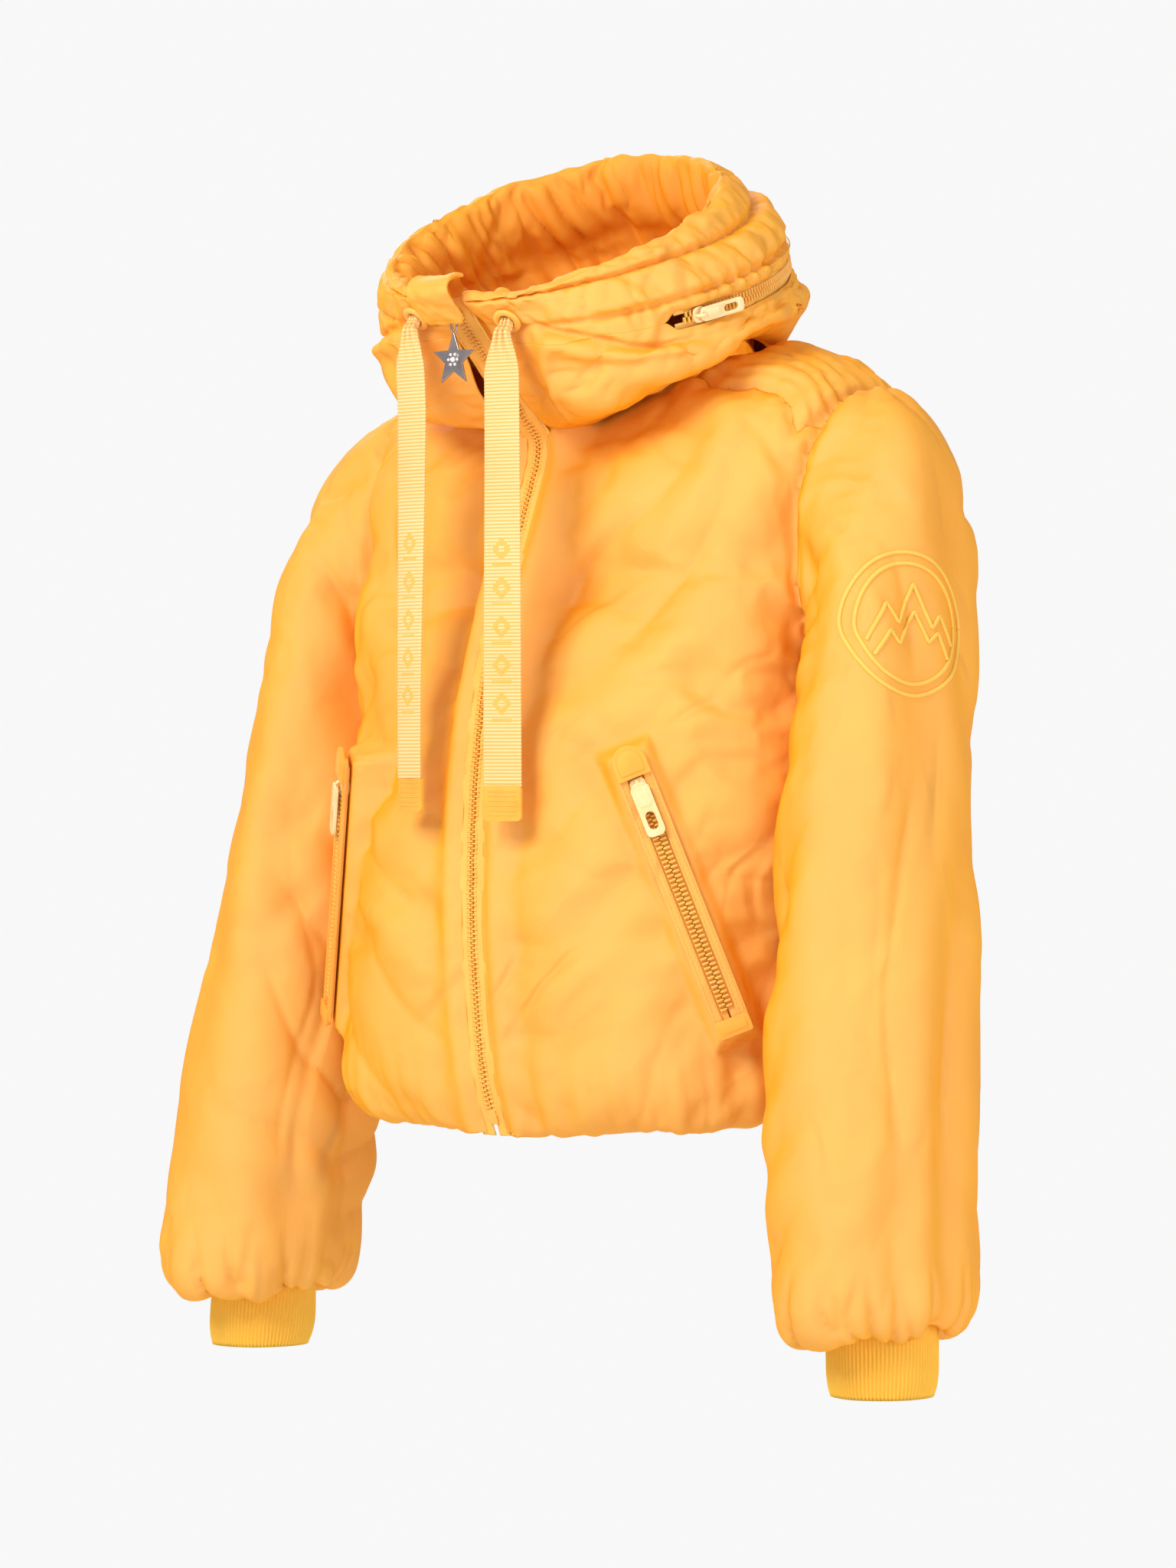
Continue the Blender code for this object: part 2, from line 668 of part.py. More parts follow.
def build_front_zip():
    for side, label in ((1, "left"), (-1, "right")):
        path, rows = front_zip_path(0.002, 0.0)
        strip_along("zip_tape_" + label, "zip_tape", path, TAPE_INNER, TAPE_OUTER, TAPE_THICK, rows, side)
        path, rows = front_zip_path(0.014, 0.0)
        strip_along("zip_teeth_" + label, "zip_teeth", path, CHAIN_INNER, CHAIN_OUTER, CHAIN_THICK, rows, side)
    points, _ = zip_lengths()
    up = (points[-1] - points[-2]).normalized()
    outward = Vector((1, 0, 0)).cross(up)
    top = frame_at(points[-1] - up * SLIDER_BELOW_TOP, up, outward)
    slider("zip_slider", "zip_pull", top, 0.0, 0.0072)
    first = points[1] - points[0]
    low = frame_at(points[0] + first.normalized() * 0.0066, first, Vector((0, -1, 0)))
    plate("zip_bottom_box", "zip_teeth", rounded(0.0064, 0.0100, 0.001), 0.0032, low)
    width, length = FLAP_SIZE
    flap = frame_at(points[-1] + up * 0.0120 + outward * FLAP_LIFT, up, outward)
    plate("zip_garage_flap", "shell", rounded(width, length, 0.008, centre=(0, -length / 2)), 0.0014, flap)
    build_star(top @ Vector((0, 0.0006, 0.0049)))


def build_star(bar):
    hanging = frame_at(bar, Vector((0, 0, 1)), Vector((0, -1, 0)))
    centre = -0.0085 - STAR_RADIUS
    outline = [(0.0032, 0.0006), (-0.0032, 0.0006)]
    for i in range(10):
        radius = STAR_RADIUS if i % 2 == 0 else 0.42 * STAR_RADIUS
        turn = math.radians(90 + 36 * i)
        if i == 0:
            outline += [(-0.0032, centre + STAR_RADIUS - 0.005)]
            continue
        outline.append((radius * math.cos(turn), centre + radius * math.sin(turn)))
    outline.append((0.0032, centre + STAR_RADIUS - 0.005))
    puller("star_puller", "star_metal", hanging, outline, 0.0014, 0.0034)
    front = 0.0014 / 2 + 0.0003
    stones = []
    for turn in (90, 210, 330):
        reach = Vector((math.cos(math.radians(turn)), math.sin(math.radians(turn)))) * 0.0058
        stones.append((reach.x, centre + reach.y))
    plate("puller_stones", "stone", stones, 0.0014, hanging, z=front + 0.0007)


def pocket_frame(side):
    (top_angle, top_height), (low_angle, low_height) = POCKET_ENDS
    top = torso_point(top_angle * side, top_height)
    bottom = torso_point(low_angle * side, low_height)
    middle_angle = side * (top_angle + low_angle) / 2
    middle = torso_point(middle_angle, (top_height + low_height) / 2)
    across = torso_point(middle_angle + 4, middle.z) - torso_point(middle_angle - 4, middle.z)
    up = (top - bottom).normalized()
    normal = across.cross(Vector((0, 0, 1))).normalized()
    centre = (top + bottom) / 2
    frame = frame_at(centre, up, normal)
    lift = (frame.inverted() @ middle).z
    return frame @ Matrix.Translation((0, 0, lift))


def build_pocket(label, side):
    frame = pocket_frame(side)
    plate("pocket_welt_" + label, "shell", rectangle(*WELT_SIZE), 0.0012, frame, hole=rectangle(*WELT_WINDOW))
    under = POCKET_CHAIN_DEPTH
    plate(
        "pocket_tape_" + label,
        "zip_tape",
        rectangle(0.022, 0.180),
        TAPE_THICK,
        frame,
        under,
        hole=rectangle(2 * TAPE_INNER, 0.166),
    )
    ring = rectangle(2 * CHAIN_OUTER, POCKET_CHAIN + 0.006)
    gap = rectangle(2 * CHAIN_INNER, POCKET_CHAIN)
    plate("pocket_teeth_" + label, "zip_teeth", ring, CHAIN_THICK, frame, under, hole=gap)
    at = frame @ Matrix.Translation((0, POCKET_CHAIN / 2 - SLIDER_LENGTH / 2 - 0.001, 0))
    slider("pocket_slider_" + label, "zip_pull", at, under, 0.0056)
    bar = at @ Matrix.Translation((0, 0.0006, 0.0033))
    pull = rounded(0.0100, POCKET_PULL_LENGTH, 0.0030, centre=(0, 0.0006 - POCKET_PULL_LENGTH / 2))
    puller("pocket_puller_" + label, "zip_pull", bar, pull, 0.0018)
    garage = rounded(0.021, 0.020, 0.0095, 5, centre=(0, WELT_SIZE[1] / 2 - 0.004))
    plate("pocket_garage_" + label, "trim", garage, 0.0010, frame, 0.0014)
    stop = rounded(0.022, 0.011, 0.0015, centre=(0, -WELT_SIZE[1] / 2 + 0.0055))
    plate("pocket_end_stop_" + label, "trim", stop, 0.0010, frame, 0.0014)
    cut = (WELT_SIZE[0] + 2 * WELT_CLEARANCE, WELT_SIZE[1] + 2 * WELT_CLEARANCE, 0.036)
    hole = box("pocket_cut_" + label, cut, frame)
    for piece in ("shell", "padding"):
        boolean(JACKET.objects[f"front_{label}_{piece}"], hole, "DIFFERENCE")


def collar_zip_frame(angle):
    """The middle of the collar zip at an angle: Y runs along it towards the back, Z points out."""
    side = Vector((1, 0, 0))
    side = (side - COLLAR_ZIP_AXIS * side.dot(COLLAR_ZIP_AXIS)).normalized()
    front = COLLAR_ZIP_AXIS.cross(side)
    front = front if front.y < 0 else -front
    s, c = math.sin(math.radians(angle)), math.cos(math.radians(angle))
    outward = side * s + front * c
    along = side * c - front * s
    return frame_at(COLLAR_ZIP_CENTRE + outward * COLLAR_ZIP_RADIUS, along, outward)


def build_collar_zip():
    def path(v):
        start = COLLAR_ZIP_START_DEG
        frame = collar_zip_frame(start + (360 - 2 * start) * v)
        return frame.translation.copy(), COLLAR_ZIP_AXIS

    for side, label in ((1, "upper"), (-1, "lower")):
        strip_along("collar_teeth_" + label, "zip_teeth", path, CHAIN_INNER, CHAIN_OUTER, CHAIN_THICK, 48, side)
    at = collar_zip_frame(COLLAR_ZIP_START_DEG + 4.5) @ Matrix.Rotation(math.pi, 4, "Z")
    slider("collar_slider", "zip_pull", at, 0.0, 0.0080)
    bar = at @ Matrix.Translation((0, 0.0006, 0.0057))
    pull = rounded(0.0088, 0.032, 0.0026, centre=(0, 0.0006 - 0.016))
    puller("collar_puller", "zip_pull", bar, pull, 0.0018)


def hanger_loop():
    frame = frame_at(LOOP_CENTRE, Vector((0, 0, 1)), Vector((0, 1, 0)))
    plate("hanger_loop", "rib", rectangle(*LOOP_SIZE), LOOP_THICK, frame, hole=rectangle(*LOOP_HOLE))


def set_on_axis(names, label, point):
    """Hang pieces on an empty that stands on their joint axis."""
    pivot = bpy.data.objects.new(label, None)
    JACKET.objects.link(pivot)
    pivot.location = point
    bpy.context.view_layer.update()
    for name in names:
        piece = JACKET.objects[name]
        piece.parent = pivot
        piece.matrix_parent_inverse = pivot.matrix_world.inverted()


def move_to_hanging_point():
    """Hang the whole jacket on an empty, and move it so that the hanging point is the origin."""
    root = bpy.data.objects.new("jacket_origin", None)
    JACKET.objects.link(root)
    for piece in list(JACKET.objects) + list(CUTTERS.objects):
        if piece.parent is None and piece is not root:
            piece.parent = root
    root.location = -HANGING_POINT


build_torso()
build_collar()
build_front_zip()
build_collar_zip()
hanger_loop()
for side_label, side_sign in (("left", 1), ("right", -1)):
    build_sleeve(side_label, side_sign)
    build_pocket(side_label, side_sign)
    shoulder = Vector((side_sign * SLEEVE_PIVOT.x, SLEEVE_PIVOT.y, SLEEVE_PIVOT.z))
    sewn = [f"sleeve_{layer}_{side_label}" for layer in ("shell", "padding", "lining")]
    set_on_axis(sewn + [f"cuff_{side_label}"], f"shoulder_{side_label}", shoulder)
move_to_hanging_point()
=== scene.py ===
"""The looks of the padded jacket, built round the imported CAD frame.

Metres, +Z up, front towards -Y, wearer's left at +X. The frame's origin is the hanging point in the neck, but
every piece is built about the centre of the hem and then moved by place(). The soft shell is swollen by cloth
simulation from a plain solid, then creased and gathered along its seams and cut into its panels.
"""

import json
import math

import bmesh
import bpy
import numpy as np
from mathutils import Matrix, Vector, noise
from mathutils.bvhtree import BVHTree

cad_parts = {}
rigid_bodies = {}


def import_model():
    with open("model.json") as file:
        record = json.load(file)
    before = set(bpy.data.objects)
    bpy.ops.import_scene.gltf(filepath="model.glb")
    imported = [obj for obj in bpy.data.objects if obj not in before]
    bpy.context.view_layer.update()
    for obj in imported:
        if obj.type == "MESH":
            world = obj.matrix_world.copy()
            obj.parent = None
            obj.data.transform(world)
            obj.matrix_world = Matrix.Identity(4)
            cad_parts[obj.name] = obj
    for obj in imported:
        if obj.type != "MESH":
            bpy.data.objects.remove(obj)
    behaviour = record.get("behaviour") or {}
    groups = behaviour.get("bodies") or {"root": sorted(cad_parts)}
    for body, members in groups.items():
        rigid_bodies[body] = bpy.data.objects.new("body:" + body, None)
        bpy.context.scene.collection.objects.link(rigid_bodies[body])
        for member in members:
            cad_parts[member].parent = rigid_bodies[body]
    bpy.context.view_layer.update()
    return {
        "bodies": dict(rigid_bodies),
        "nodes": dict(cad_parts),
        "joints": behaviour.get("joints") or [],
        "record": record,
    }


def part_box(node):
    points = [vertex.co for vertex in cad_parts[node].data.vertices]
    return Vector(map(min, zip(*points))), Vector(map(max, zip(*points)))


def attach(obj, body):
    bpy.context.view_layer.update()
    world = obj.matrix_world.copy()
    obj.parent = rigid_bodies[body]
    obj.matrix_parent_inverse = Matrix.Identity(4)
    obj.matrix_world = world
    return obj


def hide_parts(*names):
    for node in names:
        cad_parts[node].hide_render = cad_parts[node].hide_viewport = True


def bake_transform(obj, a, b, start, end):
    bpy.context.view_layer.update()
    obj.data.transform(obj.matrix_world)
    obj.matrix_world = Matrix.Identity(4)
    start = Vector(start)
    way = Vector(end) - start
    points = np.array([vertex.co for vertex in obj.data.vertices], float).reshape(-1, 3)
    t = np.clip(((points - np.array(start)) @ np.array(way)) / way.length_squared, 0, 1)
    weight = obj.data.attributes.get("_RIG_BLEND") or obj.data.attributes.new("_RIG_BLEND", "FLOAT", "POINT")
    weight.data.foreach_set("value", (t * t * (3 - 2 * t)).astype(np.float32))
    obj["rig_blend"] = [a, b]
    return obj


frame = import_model()
SCENE = bpy.context.scene
JOINTS = {joint["name"]: joint for joint in frame["record"]["behaviour"]["joints"]}

# ---------------------------------------------------------------- dimensions

HEM_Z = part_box("back_shell")[0][2]
BODY_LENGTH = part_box("back_shell")[1][2] - HEM_Z
SQUARENESS = 3.0
TORSO = (  # height, half width, half depth, centre y
    (0.000, 0.176, 0.122, -0.012),
    (0.014, 0.185, 0.134, -0.012),
    (0.050, 0.187, 0.144, -0.012),
    (0.120, 0.185, 0.151, -0.012),
    (0.200, 0.184, 0.150, -0.012),
    (0.280, 0.186, 0.141, -0.010),
    (0.340, 0.190, 0.127, -0.006),
    (0.390, 0.195, 0.111, -0.001),
    (0.440, 0.198, 0.098, 0.005),
    (0.460, 0.196, 0.089, 0.009),
    (0.476, 0.187, 0.081, 0.011),
    (0.488, 0.170, 0.076, 0.012),
    (0.498, 0.146, 0.072, 0.012),
    (0.505, 0.122, 0.070, 0.012),
    (0.510, 0.105, 0.068, 0.012),
)
NECK_DIP = 0.066
CHEST_FILL = 0.036
SLEEVE = (  # step, inner x, inner z, outer x, outer z, centre y, half depth
    (-2, 0.1100, 0.300, 0.1150, 0.440, 0.004, 0.050),
    (-1, 0.1600, 0.285, 0.1650, 0.462, 0.002, 0.060),
    (0, 0.1880, 0.274, 0.1980, 0.474, 0.000, 0.070),
    (1, 0.1935, 0.266, 0.2190, 0.462, -0.002, 0.073),
    (2, 0.1940, 0.258, 0.2390, 0.438, -0.006, 0.075),
    (3, 0.1940, 0.248, 0.2475, 0.398, -0.014, 0.077),
    (4, 0.1940, 0.230, 0.2540, 0.345, -0.024, 0.079),
    (5, 0.1935, 0.203, 0.2620, 0.285, -0.034, 0.080),
    (6, 0.1925, 0.162, 0.2720, 0.208, -0.045, 0.081),
    (7, 0.1930, 0.108, 0.2840, 0.128, -0.054, 0.082),
    (8, 0.1960, 0.045, 0.2955, 0.055, -0.063, 0.082),
    (9, 0.2025, -0.020, 0.3030, -0.016, -0.071, 0.080),
    (10, 0.2080, -0.072, 0.3085, -0.070, -0.0765, 0.077),
    (11, 0.2110, -0.104, 0.3080, -0.103, -0.0775, 0.072),
    (12, 0.2180, -0.119, 0.3020, -0.119, -0.0780, 0.055),
)
# step, centre y, centre z, side radius, front radius, slope in y, slope in x, side lift, front pinch
COLLAR = (
    (0, -0.0060, 0.4780, 0.099, 0.084, 0.421, 0.00, 0.0360, 0.000),
    (1, -0.0300, 0.4830, 0.131, 0.112, 0.400, -0.01, 0.0260, 0.030),
    (2, -0.0400, 0.5030, 0.139, 0.124, 0.370, -0.04, 0.0120, 0.028),
    (3, -0.0474, 0.5253, 0.1335, 0.1262, 0.345, -0.07, 0.0, 0.023),
    (4, -0.0556, 0.5487, 0.1335, 0.1262, 0.345, -0.07, 0.0, 0.013),
    (5, -0.0650, 0.5655, 0.123, 0.121, 0.410, -0.07, 0.0, 0.003),
    (6, -0.0790, 0.5790, 0.109, 0.111, 0.500, -0.07, 0.0, 0.000),
    (7, -0.0800, 0.5815, 0.102, 0.104, 0.500, -0.07, 0.0, 0.000),
    (8, -0.0700, 0.5580, 0.099, 0.100, 0.420, -0.09, 0.0, 0.000),
    (9, -0.0440, 0.5330, 0.100, 0.096, 0.380, -0.06, 0.0, 0.000),
    (10, -0.0060, 0.4840, 0.086, 0.071, 0.421, 0.00, 0.0330, 0.000),
)
COLLAR_DROP = 0.026  # both edges of the collar reach down into the neck seam at the back
PINCH_WIDTH_DEG = 24.0
ZIP_LINE = (  # y and z of the front zip, from the hem to the collar
    (-0.1375, -0.006),
    (-0.1510, 0.028),
    (-0.1580, 0.070),
    (-0.1630, 0.130),
    (-0.1615, 0.200),
    (-0.1530, 0.270),
    (-0.1370, 0.330),
    (-0.1150, 0.385),
    (-0.1020, 0.418),
    (-0.0985, 0.430),
    (-0.0995, 0.440),
    (-0.1080, 0.449),
    (-0.1860, 0.5245),
)
SLEEVE_FULLER = 0.009  # the wadding fills the sleeves out towards the front
ZIP_OPENING = 0.0085  # from the centre line to the edge of each front
SHELL_INSET = 0.007  # the solid that the shell swells from lies this far inside the CAD
VOXEL = 0.0062  # the mesh size the shell swells at
SWELL_BENDING = 0.3
YOKE_HALF_DEG = 26.0  # the quilted shoulder yokes: half their width round the body, and where they start
YOKE_FROM = 0.452
YOKE_ROWS = (0.010, 0.023, 0.036, 0.049)  # rows of quilting, from the shoulder's middle line
HEM_DIP = 0.010  # the hem hangs this much lower at the front
CUFF_X, CUFF_Y = 0.2600, -0.0770
COLLAR_START_DEG = 6.8  # half of the gap at the front
COLLAR_ZIP_FROM_DEG = 64.0
EYELET_ANGLE, EYELET_STEP = 17.0, 4.35
EYELET_PROFILE = (  # radius and height of the pressed ring
    (0.0047, -0.0045),
    (0.0058, -0.0045),
    (0.0058, 0.0018),
    (0.0088, 0.0016),
    (0.0094, 0.0022),
    (0.0092, 0.0032),
    (0.0080, 0.0040),
    (0.0064, 0.0040),
    (0.0052, 0.0034),
    (0.0047, 0.0020),
)
CHAIN_PITCH = 0.0030  # front zip
COLLAR_PITCH = 0.0030
POCKET_PITCH = 0.0031
POCKET_CHAIN = 0.156  # length of the pocket's row of teeth
WELT_WIDTH, WELT_LENGTH = 0.0226, 0.1890
GARAGE_Y = 0.0880  # middle of the tab above the pocket's zip
STAR_RADIUS = 0.0180
RIBBON_WIDTH = 0.026
RIBBON_DROP = 0.293  # from the pivot to the bonded tip
RIBBON_ROWS, RIBBON_COLUMNS = 420, 26
RIB_ROWS = 3  # rows of the ribbon's mesh in one woven rib
CORD_RADIUS = 0.00135  # the emblem's raised cord
LOOP_DEPTH = 0.050  # the hanging point lies this far behind the hem's centre
TO_FRAME = Vector((0.0, -LOOP_DEPTH, HEM_Z))  # from the hem's centre, where pieces are built, to the frame

# ---------------------------------------------------------------- small tools


def between(table, at):
    """The row of a table at a value of its first column, on a smooth curve through the rows."""
    keys = [row[0] for row in table]
    at = min(max(at, keys[0]), keys[-1])
    i = max(j for j in range(len(keys) - 1) if keys[j] <= at)
    span = keys[i + 1] - keys[i]
    t = (at - keys[i]) / span

    def slope(j, column):
        low, high = max(j - 1, 0), min(j + 1, len(keys) - 1)
        return (table[high][column] - table[low][column]) / (keys[high] - keys[low])

    found = []
    for column in range(1, len(table[0])):
        p0, p1 = table[i][column], table[i + 1][column]
        m0, m1 = slope(i, column) * span, slope(i + 1, column) * span
        found.append(
            (2 * t**3 - 3 * t**2 + 1) * p0
            + (t**3 - 2 * t**2 + t) * m0
            + (3 * t**2 - 2 * t**3) * p1
            + (t**3 - t**2) * m1
        )
    return found


def ease(low, high, at):
    """0 below low, 1 above high, and a smooth rise between them. Works on numbers and arrays."""
    t = np.clip((at - low) / (high - low), 0.0, 1.0)
    return t * t * (3 - 2 * t)


def chest_fill(height, facing):
    """How far the wadding pushes the chest out under the collar; facing is 1 at the front, 0 at the side."""
    return CHEST_FILL * ease(0.38, 0.47, height) * np.maximum(0.0, facing) ** 1.3


def torso_point(angle, height, inset=0.0):
    half_width, half_depth, centre = between(TORSO, height)
    power = 2 / SQUARENESS
    s, c = math.sin(math.radians(angle)), math.cos(math.radians(angle))
    x = math.copysign(abs(s) ** power, s) * (half_width - inset)
    y = centre - math.copysign(abs(c) ** power, c) * (half_depth - inset) - chest_fill(height, c)
    z = height * (1 - NECK_DIP / BODY_LENGTH * max(0.0, c) ** 2)
    return Vector((x, y, z))


def sleeve_point(step, turn, side, inset=0.0):
    """A point on a sleeve. The turn starts on the outer side and runs over the front."""
    inner_x, inner_z, outer_x, outer_z, centre_y, depth = between(SLEEVE, step)
    fuller = SLEEVE_FULLER * float(ease(0, 3, step))
    depth += fuller
    centre_y -= fuller * 0.5
    inner, outer = Vector((inner_x, centre_y, inner_z)), Vector((outer_x, centre_y, outer_z))
    half = (outer - inner) / 2
    half *= 1 - inset / half.length
    point = (inner + outer) / 2 + half * math.cos(turn)
    point.y -= (depth - inset) * math.sin(turn)
    point.x *= side
    return point


def collar_point(angle, step):
    centre_y, centre_z, side_r, front_r, slope_y, slope_x, lift, pinch = between(COLLAR, step)
    s, c = math.sin(math.radians(angle)), math.cos(math.radians(angle))
    pinched = pinch * math.exp(-((angle / PINCH_WIDTH_DEG) ** 2))
    x = side_r * s
    y = centre_y - (front_r - pinched) * c
    z = centre_z + slope_y * (y - centre_y) + slope_x * x + lift * s * s
    sewn_in = 1 - float(ease(0.0, 1.1, step)) + float(ease(8.9, 10.0, step))
    z -= COLLAR_DROP * float(ease(-0.35, 0.6, -c)) * sewn_in
    return Vector((x, y, z))


def make_object(name, verts, faces):
    mesh = bpy.data.meshes.new(name)
    mesh.from_pydata([tuple(v) for v in verts], [], faces)
    mesh.validate()
    mesh.update()
    made = bpy.data.objects.new(name, mesh)
    SCENE.collection.objects.link(made)
    mesh.shade_smooth()
    return made


def object_from(bm, name):
    """A linked object that takes over a bmesh."""
    mesh = bpy.data.meshes.new(name)
    bm.to_mesh(mesh)
    bm.free()
    made = bpy.data.objects.new(name, mesh)
    SCENE.collection.objects.link(made)
    return made


def near(distance, width):
    """1 at no distance, falling off smoothly to both sides."""
    return np.exp(-((distance / width) ** 2))


def circle(radius, count):
    """Points round a circle, the first one on +X."""
    return [(radius * math.cos(a), radius * math.sin(a)) for a in np.linspace(0, 2 * math.pi, count + 1)[:-1]]


def lofted(rings, caps=True):
    """Vertices and faces of a skin over closed rings, all with the same number of points."""
    count = len(rings[0])
    verts = [point for ring in rings for point in ring]
    faces = []
    for i in range(len(rings) - 1):
        for j in range(count):
            k = (j + 1) % count
            faces.append((i * count + j, i * count + k, (i + 1) * count + k, (i + 1) * count + j))
    if caps:
        faces.append(tuple(reversed(range(count))))
        faces.append(tuple(range((len(rings) - 1) * count, len(rings) * count)))
    return verts, faces


def grid(surface, columns, rows, wrap=False):
    """Vertices and faces of a surface(u, v) with u and v from 0 to 1. wrap joins u = 1 to u = 0."""
    across = columns if wrap else columns + 1
    verts = [surface(i / columns, j / rows) for j in range(rows + 1) for i in range(across)]
    faces = []
    for j in range(rows):
        for i in range(columns):
            k = (i + 1) % across
            faces.append((j * across + i, j * across + k, (j + 1) * across + k, (j + 1) * across + i))
    return verts, faces


def coords(obj):
    flat = np.empty(len(obj.data.vertices) * 3)
    obj.data.vertices.foreach_get("co", flat)
    return flat.reshape(-1, 3)


def set_coords(obj, points):
    obj.data.vertices.foreach_set("co", np.asarray(points, dtype=np.float32).ravel())
    obj.data.update()


def normals(obj):
    flat = np.empty(len(obj.data.vertices) * 3)
    obj.data.vertices.foreach_get("normal", flat)
    return flat.reshape(-1, 3)


def keep_field(obj, name, values):
    """Store one number per vertex, which later subdivision carries along."""
    layer = obj.data.attributes.get(name) or obj.data.attributes.new(name, "FLOAT", "POINT")
    layer.data.foreach_set("value", np.asarray(values, dtype=np.float32))


def field(obj, name):
    values = np.empty(len(obj.data.vertices), dtype=np.float32)
    obj.data.attributes[name].data.foreach_get("value", values)
    return values.astype(float)


def apply_modifiers(obj):
    graph = bpy.context.evaluated_depsgraph_get()
    mesh = bpy.data.meshes.new_from_object(obj.evaluated_get(graph))
    obj.modifiers.clear()
    old, obj.data = obj.data, mesh
    bpy.data.meshes.remove(old)


def tree_of(obj):
    faces = [tuple(polygon.vertices) for polygon in obj.data.polygons]
    return BVHTree.FromPolygons([vertex.co.copy() for vertex in obj.data.vertices], faces)


def distances(tree, points):
    return np.array([tree.find_nearest(Vector(p))[3] for p in points])


def rough(points, scale, seed, octaves=2):
    """Smooth seeded noise from -1 to 1 at each point, scale being its size in metres."""
    shift = Vector((seed * 7.31, seed * 3.17, seed * 5.71))
    return np.array([noise.fractal(Vector(p) / scale + shift, 1.0, 2.0, octaves) for p in points])


def inflate(obj, pins, pressure, stretch, frames, cap):
    """Swell a soft piece as cloth. Pins of 1 hold a point and 0 free it; no point moves past the cap."""
    start = coords(obj)
    group = obj.vertex_groups.new(name="pins")
    for level in range(1, 11):
        chosen = np.nonzero(np.round(pins * 10) == level)[0]
        if len(chosen):
            group.add(chosen.tolist(), level / 10, "REPLACE")
    cloth = obj.modifiers.new("swell", "CLOTH")
    cloth.settings.quality = 5
    cloth.settings.mass = 0.15
    cloth.settings.tension_stiffness = 12
    cloth.settings.compression_stiffness = 12
    cloth.settings.shear_stiffness = 4
    cloth.settings.bending_stiffness = SWELL_BENDING
    cloth.settings.use_pressure = True
    cloth.settings.uniform_pressure_force = pressure
    cloth.settings.shrink_min = -stretch
    cloth.settings.vertex_group_mass = "pins"
    cloth.settings.effector_weights.gravity = 0
    cloth.collision_settings.use_collision = False
    cloth.point_cache.frame_start = 1
    cloth.point_cache.frame_end = frames
    for number in range(1, frames + 1):
        SCENE.frame_set(number)
    graph = bpy.context.evaluated_depsgraph_get()
    swollen = obj.evaluated_get(graph).to_mesh()
    flat = np.empty(len(swollen.vertices) * 3)
    swollen.vertices.foreach_get("co", flat)
    moved = flat.reshape(-1, 3) - start
    obj.evaluated_get(graph).to_mesh_clear()
    obj.modifiers.remove(cloth)
    obj.vertex_groups.remove(group)
    length = np.linalg.norm(moved, axis=1, keepdims=True) + 1e-9
    set_coords(obj, start + moved / length * cap * np.tanh(length / cap))
    SCENE.frame_set(1)


def subdivide(obj):
    modifier = obj.modifiers.new("finer", "SUBSURF")
    modifier.levels = modifier.render_levels = 1
    apply_modifiers(obj)


def cut_away(obj, name):
    """Cut the mesh cleanly where a stored field is zero and drop the side where it is negative."""
    bm = bmesh.new()
    bm.from_mesh(obj.data)
    layer = bm.verts.layers.float[name]
    crossing = [edge for edge in bm.edges if edge.verts[0][layer] * edge.verts[1][layer] < 0]
    touched = set()
    fresh = set()
    for edge in crossing:
        a, b = edge.verts
        touched.update(edge.link_faces)
        _, vert = bmesh.utils.edge_split(edge, a, a[layer] / (a[layer] - b[layer]))
        vert[layer] = 0.0
        fresh.add(vert)
    for face in touched:
        ends = [vert for vert in face.verts if vert in fresh]
        if len(ends) == 2:
            bmesh.utils.face_split(face, ends[0], ends[1])
    gone = [face for face in bm.faces if sum(vert[layer] for vert in face.verts) < 0]
    bmesh.ops.delete(bm, geom=gone, context="FACES")
    bm.to_mesh(obj.data)
    bm.free()
    obj.data.update()


def copy_of(obj, name):
    made = obj.copy()
    made.data = obj.data.copy()
    made.name = name
    made.data.name = name
    SCENE.collection.objects.link(made)
    return made


def thicken(obj, thickness, offset=-1.0):
    solid = obj.modifiers.new("cloth thickness", "SOLIDIFY")
    solid.thickness = thickness
    solid.offset = offset
    apply_modifiers(obj)
    obj.data.shade_smooth()


# ---------------------------------------------------------------- placing pieces


def place(obj, body, material, slot, *nodes):
    """Move a piece built about the hem's centre into the frame, finish it and hang it on its body."""
    obj.data.transform(Matrix.Translation(TO_FRAME) @ obj.matrix_world)
    obj.matrix_world = Matrix.Identity(4)
    if material:
        obj.data.materials.clear()
        obj.data.materials.append(material)
    if body:
        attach(obj, body)
    if nodes:
        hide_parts(*nodes)
    return obj


def joint_point(name):
    return Vector(JOINTS[name]["pos_m"]) - TO_FRAME


def joint_axis(name):
    return Vector(JOINTS[name]["axis"])


def axes_at(origin, x, y):
    """A matrix with the given X and Y directions, and Z standing on both."""
    z = x.cross(y)
    return Matrix.Translation(origin) @ Matrix((x, y, z)).transposed().to_4x4()


def frame_at(origin, up, normal):
    z = normal.normalized()
    y = (up - z * up.dot(z)).normalized()
    return axes_at(origin, y.cross(z), y)


# ---------------------------------------------------------------- materials


